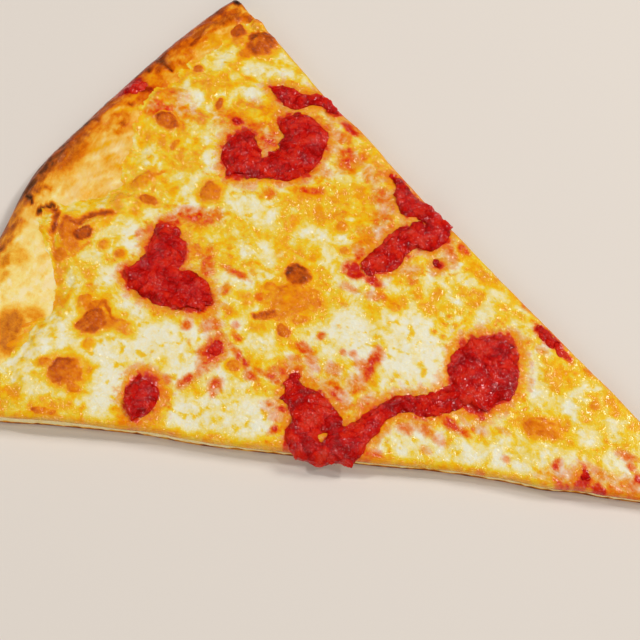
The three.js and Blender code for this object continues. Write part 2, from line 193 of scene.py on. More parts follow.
OIL_POOLS = (
    (-82, 55, 5, 8, 0, 1), (-97, 44, 5, 3, 0, 1), (-91, 47, 5, 6, 0, 0.7), (-75, 57, 3.5, 3, 0, 0.8),
    (-60, 50, 5, 3, -20, 0.9), (-55, 62, 5, 2, -10, 0.6), (-50, 56.5, 4, 1.6, 0, 0.7),
    (-81, 66, 3, 4, 0, 0.9), (-69, 68, 3, 2, 0, 0.8), (-62, 69, 3, 1.6, 0, 0.6),
    (-100, 32, 4, 5, 0, 0.8), (-95, 24, 4, 5, 0, 0.5), (-87, 21, 4, 5, 0, 0.9),
    (-80, 24, 5, 6, 0, 0.8), (-74, 21, 5, 5, 0, 0.9), (-79, 32, 5, 5, 0, 0.7),
    (-75, 9, 4, 5, 0, 0.9), (-83, -3, 3.5, 5, 0, 0.8), (-76, -2, 2.4, 5, 0, 0.9),
    (-82, -35, 2, 7, 35, 1), (-78, -40, 3, 3, 0, 1), (-77, -27, 5, 4, 0, 0.9),
    (-72, -31, 3, 3, 0, 0.8), (-73, -71, 8, 3.5, 25, 1), (-62, -67.5, 8, 2.4, 20, 1),
    (-66, -60, 3, 3, 0, 0.7), (-29, 27, 8, 6, 0, 1), (-22, 36, 6, 5, 0, 1),
    (-28, 22, 6, 2.4, 0, 0.9), (-20, 50, 9, 3.4, -20, 1), (-30, 52.5, 3, 2.4, 0, 0.8),
    (-23, 11, 6, 2.4, 0, 0.6), (-29, 7, 3.4, 3.6, 0, 0.9), (-38, 9, 4, 2.4, 0, 0.8),
    (-47, 10, 3.4, 1.8, 0, 0.6), (-34, 15, 3.5, 5, 10, 1), (-14, 30, 4, 5, 0, 0.6),
    (28, 30, 7, 2.6, 0, 1), (27, 22, 2.2, 4.4, 0, 1), (15, 16, 6, 3.6, -20, 0.9),
    (35, 24, 2.4, 2.4, 0, 0.9), (22, 22.5, 2, 2, 0, 0.7), (37, 30, 6, 1.8, -25, 0.9),
    (20, 34, 4, 2.4, -25, 0.8), (8, 8, 3.4, 2.6, 0, 1), (4, 3, 2.4, 2.4, 0, 0.7),
    (10, -2, 2.4, 5, 10, 0.9), (5, 17, 4, 2, 0, 0.6), (-50, -29, 5, 1.8, 0, 0.8),
    (-57, -37, 4.5, 3.4, 0, 1.1), (-57, -43, 3, 2.4, 0, 0.9), (-62, -47, 2.2, 2.2, 0, 1),
    (-56, -56, 3, 6, 20, 1), (-47, -60, 4, 2.6, 0, 0.8), (-33, -53, 2.4, 8, 20, 1),
    (-15, -52, 6, 2, 20, 1), (-24, -56, 6, 1.8, 20, 0.9), (-40, -62, 8, 1.6, 24, 1),
    (-2, -46.5, 4, 1.8, 20, 1), (30, -33, 5, 1.8, 25, 1), (43, -28, 8, 1.6, 22, 0.9),
    (60, -22, 9, 1.6, 24, 1), (71, -17, 4, 1.8, 24, 1), (35, -27, 3, 3, 0, 0.6),
    (57, 12, 2.8, 5, 20, 1), (66, -1, 4, 2.6, -20, 0.9), (68, -4, 2.4, 2, 0, 0.8),
    (75, 13, 6, 2.6, -20, 0.9), (72, 7, 2.6, 4, 10, 0.9), (62, 17.5, 5, 2, -20, 1),
    (77, -2, 2, 1.6, 0, 0.8), (75, -5.5, 2.4, 1.4, 0, 0.9), (70, -6, 2, 1.4, 0, 0.6),
    (84, 9, 3, 3, -30, 0.9), (90, 6, 5, 2, -22, 0.8), (98, 2, 6, 2, 0, 0.7),
    (82, 5, 2.4, 2, 0, 0.6), (62, 12, 3, 2, 0, 0.6), (52, -5, 2, 3, 0, 0.6),
    (58, -9, 5, 2, 0, 0.6), (51, 2, 2, 3, 0, 0.7), (40, 24, 4, 1.6, 0, 0.7),
    (45, 17, 2.4, 2, 0, 0.6), (-32, -16, 2.4, 3, 0, 0.7), (-19, -26, 3, 2.4, 0, 0.7),
    (-12, -35, 3, 2, 0, 0.5), (-50, 5, 4, 4, 0, 0.8), (-50, -5, 4, 3, 0, 0.8),
    (-41, -5, 5, 1.8, 0, 0.9), (-19, 1, 5, 6, 0, 0.8), (-9, 0, 4, 2, 0, 0.8),
    (-24, -17, 3, 2.4, 0, 0.9), (-12, -17, 3, 2, 0, 0.8), (2, -7, 1.6, 2, 0, 0.7),
    (24, -2, 1.8, 1.8, 0, 0.6), (-66, 44, 8, 6, 0, 0.9), (-58, 0, 4, 4, 0, 0.9),
    (-49, -31.8, 3, 2, 0, 1), (-81.4, 44.4, 3, 3, 0, 1.1), (-30.6, -11.4, 3, 2.6, 0, 1.1),
    (-28, 44, 4, 3, 0, 1), (-93, 38, 4, 4, 0, 1),
)
# Sauce rubbed thin over the cheese: an amount of 1 hides the cheese, 0.4 only tints it.
SMEARS = (
    (-55, 39, 3.4, 4.4, 0, 0.64), (-61, 41, 4, 3, 20, 0.55), (-51, 50, 4, 3, -20, 0.5),
    (-40, 52, 4, 3, -20, 0.5), (-37, 45, 2.4, 5, 10, 0.5), (-37, 37, 2.4, 4, 0, 0.42),
    (-67.5, 41, 2, 1.6, 0, 0.9), (-35, 57, 4, 1.6, -15, 0.8), (-29, 47, 4, 3, 0, 0.62),
    (-38.5, 48, 1.6, 1.4, 0, 0.4), (-33, 38, 2.4, 1.8, 0, 0.42), (-34, 30, 4.2, 1.2, 25, 0.6),
    (-43, 28.5, 2.2, 2, 0, 0.5), (-44, 23, 2.2, 1.8, 0, 0.5), (-51, 22, 2.4, 1.8, 0, 0.45),
    (-65, -1, 3, 2.4, 30, 0.75), (-59, 5, 5.4, 2.6, 10, 0.62), (-54, 8, 3, 2, 0, 0.5),
    (-62, 3, 3.4, 2.4, 0, 0.6), (-70, -9, 1.7, 1.7, 0, 0.6), (-68, -7, 1.6, 3, 30, 0.55),
    (-38, -6, 4, 1.2, 0, 0.6), (-46, -9, 2, 3, 20, 0.6), (-49, -5, 1.6, 3.4, 15, 0.5),
    (-34, -3.5, 1.2, 1.2, 0, 0.3), (-28, -9, 1.6, 1.2, 0, 0.5), (-38, -12, 1.6, 1.8, 0, 0.45),
    (-34, -17, 2.6, 1, 0, 0.35), (-31, -27, 1.8, 3, 25, 0.6), (-30.5, -31, 2.8, 5, 5, 0.72),
    (-30.2, -37, 1.3, 4, 3, 0.5), (-32, -42.5, 1.5, 2.6, -20, 0.68), (-35, -24, 3, 2.4, 30, 0.55),
    (-29, -20.5, 1.2, 1.2, 0, 0.62), (-27, -23.4, 2, 1, -15, 0.5), (-26, -27, 3.4, 1, -10, 0.5),
    (-22, -29, 3.6, 1.2, -25, 0.8), (-17, -31.5, 2.6, 1.4, -10, 0.62), (-24, -39, 1.8, 2.2, 0, 0.66),
    (-23, -41.5, 0.9, 1.4, 0, 0.6), (-37, -45, 1.6, 1.6, 0, 0.5), (-41, -27.5, 1.6, 1.6, 0, 0.6),
    (-12, -27, 1.8, 1.6, 0, 0.55), (-15, -29.3, 2.2, 1, 0, 0.5), (-11, -29, 3, 1.2, 0, 0.6),
    (-8, -16.5, 2.6, 1.4, -10, 0.66), (-5, -18.5, 2.4, 1.6, -15, 0.6), (-9, -20.5, 2.4, 1.4, 20, 0.5),
    (-7, -24, 2, 2.4, 0, 0.55), (-3, -20, 2.4, 1.2, -10, 0.5), (2, -18, 2.4, 2, 0, 0.5),
    (4, -23, 3, 3, 0, 0.45), (10, -26, 3, 2.4, 0, 0.5), (-6, -11, 1, 1.4, 0, 0.6),
    (-3, -35.5, 3, 1.4, 15, 0.7), (-4, -38, 3, 2, 10, 0.45), (-3, -41.8, 1.1, 1.3, 0, 0.72),
    (-8, -36, 1.6, 1, 0, 0.55), (11, -9, 1.8, 3, 10, 0.72), (11, -14, 1.6, 3.4, 0, 0.66),
    (10, -19, 3, 3, 0, 0.5), (5, -11, 1.2, 1, 0, 0.6), (2, -12, 0.9, 0.9, 0, 0.5),
    (16, -22, 3, 3, 0, 0.5), (-12, 39, 4, 3, 0, 0.55), (-10, 34, 3, 3, 0, 0.5),
    (-13, 26, 2, 2, 0, 0.35), (-8, 28, 3.4, 3.4, 0, 0.5), (-11, 20, 2, 3, 0, 0.45),
    (16.5, 36, 2.2, 1.4, -25, 0.62), (14, 31, 2, 1.6, 0, 0.4), (13, 27, 1.6, 1.2, 0, 0.8),
    (41, 28, 1.6, 1, -20, 0.7), (51, 22, 4.6, 1.8, -18, 1.05), (57.5, 19.5, 2.6, 1, -20, 0.75),
    (46, 18, 2, 1.2, 0, 0.35), (51, 17.5, 2.4, 1.2, 0, 0.4), (8, 19, 1.6, 2.4, 0, 0.4),
    (42, -16, 2.6, 1.2, 0, 0.62), (33, -20.5, 3.4, 1.8, -10, 0.5), (28, -23, 2.4, 1.8, 0, 0.5),
    (46, -13.4, 3, 1.2, 10, 0.45), (52, -10, 2.4, 1, 0, 0.35), (36, -26, 1.6, 1.2, 0, 0.4),
    (56, -17, 1.2, 1, 0, 0.5), (52, -24, 1.4, 0.9, 0, 0.5), (24, -35, 3, 2, 20, 0.55),
    (69, -11.5, 1.3, 1.6, 0, 0.72), (72.5, -16, 2.4, 1.6, 0, 0.66), (77, -13, 1.9, 2.8, 0, 0.95),
    (81.5, -12, 2.2, 1.7, 0, 0.88), (80, -8, 3, 1.8, 0, 0.5), (86, -10, 3, 1.6, 0, 0.6),
    (84.5, 0.5, 2.8, 1.2, 5, 0.62), (86.5, -1.5, 1.2, 1.2, 0, 0.66), (90, -4, 1.6, 1.9, 0, 0.82),
    (90, -8, 3, 1.8, 10, 0.6), (95, -5, 3, 2, 0, 0.5), (100, -1, 3, 1.8, 0, 0.4),
    (-91, 31.6, 4, 3.4, 20, 0.6), (-86, 33, 6, 5, 20, 0.42), (-79, 36, 3, 2, 0, 0.4),
    (-90, 39, 4, 3, 0, 0.42), (-71, 40, 5, 4, 0, 0.4), (-66, 50, 3, 2, 0, 0.35),
    (-72, -31, 2, 1.6, 0, 0.3), (-5, 1, 1.2, 1, 0, 0.3), (60.5, -4, 5.8, 3, 15, 0.3),
    (-36, 52, 4, 2, 0, 0.5), (-21, 27, 2, 2, 0, 0.25), (76, -12, 9, 3, 22, 0.45),
    (88, -7, 8, 3, 22, 0.42), (-53, 37, 3, 4, 0, 0.5), (-20, 45, 4, 3, -30, 0.42),
    (-14, 40, 3, 2.6, 0, 0.5), (-10, 24, 2.4, 4, 0, 0.3), (6, 21, 3, 2, 40, 0.42),
    (13, 33, 5, 1.6, -35, 0.55), (1, 8, 3, 1.6, 20, 0.5), (-7, 7, 3, 1.4, 0, 0.45),
    (-9, -25, 2, 4, 0, 0.55), (-7, -37, 3, 2, 0, 0.4), (-2, -24, 4, 1.6, 0, 0.4),
    (9, -25, 4, 1.8, 0, 0.5), (15, -22, 2, 3, -20, 0.5), (29, -12, 3, 1.4, -30, 0.4),
    (-8.4, 12.6, 3.2, 2.2, -20, 1.0), (-2, 12.6, 3, 1.5, -10, 0.9), (-9.6, 18.4, 1.6, 2.8, 10, 0.72),
    (-92.6, 38.6, 3.4, 2.6, 0, 0.5), (-28.2, 44, 3.4, 2.8, 0, 0.52), (37.4, -21.4, 3, 1.4, 0, 0.5),
    (38.4, -15.8, 3.4, 1.5, -10, 0.66), (8.4, -13, 2.2, 1.8, 0, 0.55), (7, -24, 2.8, 2.2, 0, 0.7),
)
# Blisters: x, y, half length, half width, turn, height in mm, and how brown.
BLISTERS = (
    (-77, 72, 5.6, 4.6, 75, 1.5, 0.78), (-79, 65.4, 2.2, 1.8, 60, 0.6, 0.6),
    (-86.6, 71.8, 3.3, 2.6, -25, 1.1, 0.82), (-84.6, 69, 2.6, 2.2, -30, 0.5, 0.5),
    (-82, 78, 2.8, 2.6, 0, 1.6, 0.4), (-82, 79.8, 2, 1.1, 0, 0.6, 0.72),
    (-89.5, 52, 1.9, 1.5, 0, 0.6, 0.72), (-76, 44, 1.2, 2.2, 10, 0.6, 0.74),
    (-86.5, 29.4, 4.2, 2.8, 10, 1.1, 0.74), (-79.4, 23, 1.1, 2.2, 0, 0.4, 0.6),
    (-60, 14, 3.6, 3.1, -40, 1, 0.6), (-80.8, 7.4, 2.4, 4.4, -32, 1, 0.5),
    (-75, 2.2, 3.4, 1.6, 6, 0.9, 0.7), (-93, 5, 0.7, 1.1, 0, 0.3, 0.6),
    (-82, -2, 3.2, 4, 10, 1, 0.12), (-88.4, -20, 5.6, 3.2, -54, 1.5, 0.64),
    (-99.4, -16.4, 2, 1.6, 0, 0.1, 0.6), (-84, -14.2, 4.6, 3, 60, 1.1, 0.36),
    (-85, -18.2, 2, 3, -30, 0.4, 0.86),
    (-86.8, -27.4, 2.2, 2, 0, 0.4, 0.6), (-82, -9.6, 1.8, 3, 0, 0.6, 0.46),
    (-77.5, -18, 1.6, 1.6, 0, 0.4, 0.5),
    (-71.5, -18, 1.6, 1.6, 0, 0.4, 0.55), (-71.5, -36, 2.2, 2.2, 0, 0.5, 0.5),
    (-65.5, -40, 3.6, 4.4, -20, 1.1, 0.74), (-67.5, -36, 2.2, 3, -25, 0.7, 0.62),
    (-62, -38, 3, 2.2, 10, 0.6, 0.55), (-57, -37.6, 3.4, 2.2, 0, 0.5, 0.42),
    (-68, -43, 1.6, 1.6, 0, 0.4, 0.7), (-83.5, -46, 2.6, 2.6, 0, 0.6, 0.5),
    (-87, -52, 3.6, 3, 20, 0.8, 0.74), (-84, -58, 3, 4, 0, 0.6, 0.62),
    (-89.5, -54.5, 2, 2.6, 0, 0.5, 0.85), (-86, -50, 1.8, 1.4, 0, 0.4, 0.85),
    (-22.4, -31.4, 2.1, 1.8, 0, 0.4, 0.6), (-30.4, -11.8, 2, 1.6, 0, 0.3, 0.36),
    (-63, -57, 4.8, 4, 15, 1.1, 0.7), (-69, -57.6, 2.4, 1.5, 20, 0.5, 0.55),
    (-58, -60, 2.2, 1.5, 0, 0.4, 0.6), (-62.5, -46.5, 1.6, 1.6, 0, 0.4, 0.5),
    (-61, -69.6, 3.2, 1.2, 22, 0.3, 0.6), (-21.8, 2.6, 3.8, 3.4, 0, 1.2, 0.84),
    (-19.4, -5, 5.4, 7.4, -8, 0.9, 0.5), (-15, -3.4, 4.2, 4.6, 0, 0.5, 0.46),
    (-23, -13.2, 3.4, 1.5, 35, 0.5, 0.74), (-24, -7.4, 2.6, 3.4, 0, 0.4, 0.48),
    (-16.2, -14.8, 2.6, 1.7, -25, 0.5, 0.7), (-12.2, -2.4, 1.7, 1.5, 0, 0.4, 0.6),
    (-14, -9.4, 2.4, 1.6, 40, 0.4, 0.58), (-27, -4.6, 1.8, 1.5, 20, 0.3, 0.54),
    (-19, 24, 1.9, 1.8, 0, 0.3, 0.5), (-33, 17, 1.8, 3.4, 10, 0.3, 0.36),
    (-9, 23.5, 2, 1.2, 0, 0.3, 0.5), (-14, 17, 1.5, 1.5, 0, 0.3, 0.46),
    (-30, 6, 2.2, 1.8, 0, 0.3, 0.36), (60.5, -4, 5.4, 2.9, 15, 0.8, 0.56),
    (57, 11, 2.2, 3.6, 15, 0.3, 0.34), (71, 9.5, 1.5, 1.5, 0, 0.4, 0.56),
    (65, 18, 1.5, 1, -20, 0.3, 0.5), (12, 14, 1.3, 1.2, 0, 0.3, 0.4), (8, 8, 2, 1.6, 0, 0.3, 0.4),
    (23, 13.5, 1, 0.8, 0, 0.2, 0.42), (26, 12, 1, 0.8, 0, 0.2, 0.42),
    (21.5, 7, 1, 0.9, 0, 0.2, 0.42), (24.5, 7, 0.9, 0.8, 0, 0.2, 0.42),
    (28, 22, 1.3, 2.2, 0, 0.2, 0.34), (-3, -5.6, 0.9, 0.7, 0, 0.2, 0.3),
)
# Creases burnt into the bubbles: points, half width, depth, and how brown.
CREASES = (
    (((-88.3, -15.8), (-88.2, -13.3), (-86.5, -11), (-84.8, -9.2), (-82.1, -7.6)), 1.5, 0.3, 0.84),
    (((-99.3, -14.7), (-95.8, -16.4), (-94.1, -19.1), (-93.2, -22.3)), 1.3, 0.6, 0.9),
    (((-93.2, -22.3), (-90, -26.4), (-86, -28), (-83.8, -26), (-82, -19.5)), 0.9, 0.4, 0.5),
    (((-79, 10.4), (-76.6, 13.4)), 0.8, 0.2, 0.55),
    (((-68.6, -43.6), (-66.6, -33.2), (-60.8, -36.8)), 0.8, 0.3, 0.72),
    (((-25, 2.4), (-23.6, 4.4), (-21.4, 5.2), (-18.8, 4)), 1.4, 0.1, 0.8),
    (((-19.6, -13), (-18.6, -7), (-17, -1)), 0.6, 0.35, 0.5),
    (((-15.4, -1), (-14.6, -6), (-17, -9.4)), 0.6, 0.3, 0.56),
    (((-26, -15), (-23.4, -13.4), (-22, -11)), 1.1, 0.2, 0.82),
)

# On the dough's rim, where everything lies RIM_SHIFT away from where it is written.
RIM_SHIFT = (1.0, -1.8)
# How wide the browned band along the rim's edge is, and how oily the bare dough, both by degrees.
RIM_BAND = (
    (-22.5, 4.6), (-15, 3.4), (-8, 3.4), (-5, 5), (-3, 9), (2, 8.6), (4, 6.8), (7, 4.2), (12, 4),
    (22.5, 6),
)
RIM_GREASE = ((-22.5, 0.4), (-15, 0.1), (-6, 0.2), (-2, 0.6), (3, 0.75), (9, 1.1), (22.5, 0.9))
RIM_CREASES = (
    (((-100.6, -15.6), (-99.2, -13.6), (-98, -14.6)), 0.7, 0.6, 0.9),
    (((-104.6, 50.4), (-102.4, 50), (-100.6, 48.2), (-97, 47.8)), 1.0, 0.5, 0.84),
    (((-108.4, -10), (-109, -14), (-106.6, -15.8)), 0.6, 0.4, 0.86),
    (((-106.6, -15.8), (-104, -17.2), (-100.8, -17.6)), 0.4, 0.4, 0.96),
    (((-101.2, -17), (-99.4, -15)), 0.45, 0.4, 0.9),
    (((-96.6, 68), (-96.2, 63), (-97, 59)), 0.8, 0.2, 0.72),
    (((-112, 0), (-111.4, -4), (-110.6, -8.5)), 0.5, 0.2, 0.92),
)
RIM_BROWN = (
    (-94, 83.6, 3.2, 1.8, -25, 1.0), (-97.5, 79, 2.6, 4.4, -5, 0.7), (-91.6, 78, 1.8, 3, -10, 0.58),
    (-98.4, 70, 2.2, 5, -14, 0.66), (-101.5, 61, 2.4, 6, -12, 0.66), (-97, 64.5, 1.4, 3.4, -8, 0.66),
    (-103, 49.4, 3.2, 2, -20, 0.84), (-103.4, 44, 1.6, 1.8, 0, 0.8), (-106.4, 24, 2, 9, -6, 0.66),
    (-100, 28.6, 1.6, 0.9, 30, 0.66), (-106, 8.6, 2, 2.2, 0, 0.64), (-109.4, 10, 1.8, 9, -6, 0.74),
    (-110, -2, 2.2, 6, 0, 0.66), (-109.5, -12, 2, 4, 0, 0.86), (-106.6, -15.8, 1.4, 1, 0, 1.05),
    (-101, -18, 0.9, 1.5, 10, 1.0), (-108.6, -24, 1.6, 6, 14, 0.5), (-97.2, -33.6, 3.4, 3, 0, 0.36),
    (-99, -37, 1.5, 2.6, 10, 0.5), (-108.2, 2, 3.2, 10, -4, 0.66), (-104.4, 3, 3, 8, -4, 0.54),
    (-105.6, -34, 1.6, 6, 14, 0.56), (-100, -50, 2.2, 8, 20, 0.66), (-96, -62, 2.2, 7, 22, 0.64),
    (-92, -55, 2.6, 3, 0, 0.6), (-91, -20, 4.6, 5.4, 20, 0.62), (-97, -19, 1.4, 2, 0, 0.45),
    (-96, 56.4, 1.6, 2.4, 0, 0.42), (-95, 38, 0.7, 0.7, 0, 0.98), (-86, -52, 3.6, 5, 12, 0.58),
    (-83, -45.6, 2.8, 2.4, 0, 0.46), (-83, -57, 3.4, 3.6, 0, 0.56),
)
RIM_PALE = (
    (-102.8, 23, 0.9, 3.4, -28, 0.9), (-98.6, 66.4, 0.7, 2.4, -8, 0.7), (-101.6, 49, 0.9, 0.7, 0, 0.8),
    (-99.6, 0, 5, 12, 0, 0.8), (-92, 4, 8, 14, 0, 0.9), (-96.5, 54, 1.2, 2, 0, 0.5),
    (-93, -36, 4, 12, 16, 0.9), (-88, -44, 3.4, 9, 16, 0.9), (-98, -25, 3.4, 4.6, 10, 0.9),
    (-103, -21, 1.6, 1.4, 0, 0.7), (-101.5, 43, 1, 1.4, 0, 0.5), (-89, 64, 3, 7, -10, 0.8),
    (-92, 58, 3, 4, 0, 0.5), (-94, -6, 6, 8, 0, 0.9), (-83.4, -37, 3.4, 10, 16, 1.0),
)
RIM_STAINS = (
    (-104.3, 36.2, 2.6, 3.2, 0, 1.3), (-97.5, 37.6, 3, 1.5, 12, 0.66), (-93, 38, 3, 1.6, 0, 0.6),
    (-90, 36, 6, 4, 20, 0.45), (-94, 33, 4, 3, 0, 0.5), (-105, 32.6, 2, 2.6, 0, 1.1),
    (-100.5, 36, 3, 3, 0, 0.4), (-93.4, 39.4, 4, 2.8, 0, 0.42),
)
RIM_OIL = (
    (-97, 44, 5, 3, 0, 1), (-91, 47, 5, 6, 0, 0.8), (-100, 32, 4, 5, 0, 0.9),
    (-96, 24, 5, 7, 0, 0.7), (-92, 70, 3, 9, -8, 0.55), (-93, 52, 3, 6, 0, 0.5),
    (-98, 12, 4, 5, 0, 0.4), (-103, -22, 3, 4, 0, 0.5), (-90, 17, 6, 4, 0, 0.5),
    (-98.6, -1, 4, 5, 0, 0.5), (-93, 39.6, 5, 4, 0, 1),
)

# ---------------------------------------------------------------- colours and light

# How cheese browns: how toasted it is, 0 to 1, and its colour there.
CHEESE_BROWNING = (
    (0.22, "#F4B006"), (0.4, "#F09804"), (0.56, "#E67C08"), (0.72, "#CC5806"), (0.88, "#9C3A06"),
    (1.0, "#5A2008"),
)
# Each light: name, way round in degrees, height in degrees, distance in m, width in m, watts.
LIGHTS = (
    ("Window", 150, 44, 1.4, 0.36, 8.8), ("Lamp", 268, 46, 1.4, 0.14, 5.2),
    ("Bulb", 120, 52, 1.4, 0.1, 2.4), ("Wall", 20, 30, 1.6, 1.0, 7.8),
)
SKY_COLOUR = "#FFFDFB"
CAMERA_TARGET = (-9.8, -4.9, 0)
SENSOR_WIDTH = 36.0

# ---------------------------------------------------------------- numbers over whole arrays

NOISE_GRID = 512  # noise repeats after this many cells
FAR = 1e3  # farther than anything on the slice


def lerp(a, b, part):
    return a + (b - a) * part


def smoothstep(value, low, high):
    """0 below low, 1 above high, and 3p2 - 2p3 between them."""
    part = np.clip((value - low) / (high - low), 0, 1)
    return part * part * (3 - 2 * part)


def through(pairs, at):
    """A smooth curve through (place, value) pairs: a cubic between neighbours, whose slope at each
    pair is that of the chord between its neighbours, and level beyond both ends."""
    places, values = np.array(pairs, float).T
    before = np.maximum(np.arange(len(places)) - 1, 0)
    after = np.minimum(np.arange(len(places)) + 1, len(places) - 1)
    slope = (values[after] - values[before]) / (places[after] - places[before])
    at = np.clip(at, places[0], places[-1])
    i = np.clip(np.searchsorted(places, at, side="right") - 1, 0, len(places) - 2)
    step = places[i + 1] - places[i]
    part = (at - places[i]) / step
    rest = 1 - part
    bend = (slope[i] * rest - slope[i + 1] * part) * step * part * rest
    return lerp(values[i], values[i + 1], part * part * (3 - 2 * part)) + bend


def noise(x, y, size, seed):
    """Gradient noise, about -1 to 1: a random slope at each corner of a grid of cells `size` wide,
    blended across each cell by 6p5 - 15p4 + 10p3."""
    turn = 0.7 + seed
    u = (x * math.cos(turn) - y * math.sin(turn)) / size + 50.3
    v = (x * math.sin(turn) + y * math.cos(turn)) / size + 31.7
    slopes = np.random.default_rng(seed).random((NOISE_GRID, NOISE_GRID)) * 2 * math.pi
    column = np.floor(u).astype(int)
    row = np.floor(v).astype(int)
    total = 0
    for across in (0, 1):
        for along in (0, 1):
            du = u - column - across
            dv = v - row - along
            near_u = 1 - np.abs(du)
            near_v = 1 - np.abs(dv)
            share = near_u**3 * (6 * near_u**2 - 15 * near_u + 10)
            share *= near_v**3 * (6 * near_v**2 - 15 * near_v + 10)
            angle = slopes[(column + across) % NOISE_GRID, (row + along) % NOISE_GRID]
            total = total + share * (np.cos(angle) * du + np.sin(angle) * dv)
    return total * 1.5


def rough_noise(x, y, size, seed, octaves=4, fade=0.55):
    """Gradient noise with finer noise on it: each octave is half as wide and `fade` as strong."""
    total = 0
    weight = 1.0
    for octave in range(octaves):
        total = total + weight * noise(x, y, size / 2**octave, seed + octave)
        weight *= fade
    return total


def cells(x, y, size, seed):
    """Distances to the nearest and second nearest of points scattered one to a cell of a grid
    `size` wide, in cell widths."""
    u = x / size + 60
    v = y / size + 60
    rng = np.random.default_rng(seed)
    scattered = rng.random((NOISE_GRID, NOISE_GRID, 2))
    column = np.floor(u).astype(int)
    row = np.floor(v).astype(int)
    nearest = np.full(np.shape(u), FAR)
    second = np.full(np.shape(u), FAR)
    for across in (-1, 0, 1):
        for along in (-1, 0, 1):
            spot = scattered[(column + across) % NOISE_GRID, (row + along) % NOISE_GRID]
            away = np.hypot(column + across + spot[..., 0] - u, row + along + spot[..., 1] - v)
            second = np.minimum(second, np.maximum(nearest, away))
            nearest = np.minimum(nearest, away)
    return nearest, second


def spot_reach(x, y, spot, shift):
    """Distance from a spot's centre in its own half widths: 1 on its ellipse."""
    turn = math.radians(spot[4])
    dx = x - spot[0] - shift[0]
    dy = y - spot[1] - shift[1]
    along = (dx * math.cos(turn) + dy * math.sin(turn)) / spot[2]
    aside = (dy * math.cos(turn) - dx * math.sin(turn)) / spot[3]
    return np.hypot(along, aside)


def spots(x, y, places, shift, rough, soft):
    """The strongest spot at each point: its amount inside the ellipse, fading to 0 over `soft` of
    its half width, with the outline pushed in and out by `rough`."""
    total = np.zeros_like(x)
    for spot in places:
        reach = spot_reach(x, y, spot, shift) + rough
        total = np.maximum(total, spot[5] * smoothstep(-reach, -1 - soft, -1 + soft * 0.6))
    return total


def path_distance(x, y, points, shift=(0, 0)):
    """The shortest distance from each point to a line drawn through `points`."""
    best = np.full(np.shape(x), FAR)
    for (ax, ay, *_), (bx, by, *_) in zip(points[:-1], points[1:]):
        ux, uy = bx - ax, by - ay
        px, py = x - ax - shift[0], y - ay - shift[1]
        part = np.clip((px * ux + py * uy) / (ux * ux + uy * uy), 0, 1)
        best = np.minimum(best, np.hypot(px - part * ux, py - part * uy))
    return best


# ---------------------------------------------------------------- the pie's shape, mm


def rim_radius(angle):
    return PIE_RADIUS + through(RIM_WAVE, np.degrees(angle))


def half_angle(radius, side, extra=0.0):
    """The slice's half angle at a distance from the pie's centre, where the worn cut runs inside
    its ideal line, and the point is rounded."""
    along = np.clip((radius - TIP_START) / (TIP_END - TIP_START), 0, 1)
    rounding = 0.35 + 0.65 * np.sqrt(along * (2 - along))
    inset = np.where(side < 0, through(LOWER_INSET, radius), through(UPPER_INSET, radius)) + extra
    inset = np.minimum(inset, radius * HALF_ANGLE * 0.4)
    return rounding * (HALF_ANGLE - inset / radius)


def place(radius, angle):
    return PIE_CENTRE_X - radius * np.cos(angle), radius * np.sin(angle)


def pie_terms(x, y):
    return np.hypot(PIE_CENTRE_X - x, y), np.arctan2(y, PIE_CENTRE_X - x)


def past_cut(x, y):
    """How far a point lies beyond the nearer cut: below 0 inside the slice."""
    radius, angle = pie_terms(x, y)
    return radius * (np.abs(angle) - half_angle(np.maximum(radius, TIP_START), angle))


def rim_streaks(inward, angle, stretch=0.35, size=3.4, seed=63, octaves=3, fade=0.55):
    """Noise drawn out along the rim, at a slant to it."""
    along = angle * PIE_RADIUS
    return rough_noise(inward - 0.35 * along, stretch * along, size, seed, octaves, fade)


def rim_creases(x, y):
    """For each crease of the rim, the distance from its line in its own half widths, where the line
    wanders by noise, then how deep and how brown it is."""
    wander = 0.5 * noise(x, y, 3, 14)
    for points, half_width, depth, burnt in RIM_CREASES:
        away = np.abs(path_distance(x, y, points, RIM_SHIFT) + wander * half_width)
        yield away / half_width, depth, burnt


def rim_lumps(x, y, radius, angle):
    """The rim's own unevenness: slow swellings, small bubbles, and creases with raised lips."""
    inward = rim_radius(angle) - radius
    lumps = 0.5 * rough_noise(x, y, 17, 11, 3) + 0.26 * rough_noise(x, y, 5.5, 12, 4, 0.6)
    lumps = lumps + 0.22 * rim_streaks(inward, angle)
    nearest, _ = cells(x + 1.3 * noise(x, y, 4, 16), y, 7.5, 13)
    lumps = lumps + 0.3 * np.clip(1 - (nearest / 0.46) ** 2, 0, 1) ** 1.5
    for reach, depth, _ in rim_creases(x, y):
        lumps = lumps - depth * np.exp(-(reach**2)) + 0.45 * depth * np.exp(-((reach - 2.2) ** 2))
    return lumps * smoothstep(inward, 34, 12)


def dough_top(radius, angle, lumpy=True):
    """Top of the dough: a base that thickens towards the rim by a smooth step, and the rim, whose
    outer slope is a quarter ellipse up to the crest and whose inner slope is a smooth step."""
    inward = np.maximum(rim_radius(angle) - radius, 0)
    base = lerp(DOUGH_AT_TIP, DOUGH_AT_RIM, smoothstep(radius, 20, PIE_RADIUS - RIM_WIDTH))
    height = RIM_HEIGHT + 0.5 * np.sin(17 * angle + 0.6) - 0.3 * np.cos(31 * angle)
    rise = np.clip(1 - inward / RIM_CREST, 0, 1)
    outer = RIM_EDGE_HIGH + (height - RIM_EDGE_HIGH) * np.sqrt(1 - rise * rise)
    inner = lerp(height, base, smoothstep(inward, RIM_CREST, RIM_WIDTH))
    top = np.where(inward < RIM_CREST, outer, inner)
    if lumpy:
        x, y = place(radius, angle)
        top = top + rim_lumps(x, y, radius, angle) * smoothstep(inward, -0.5, 3)
    return top


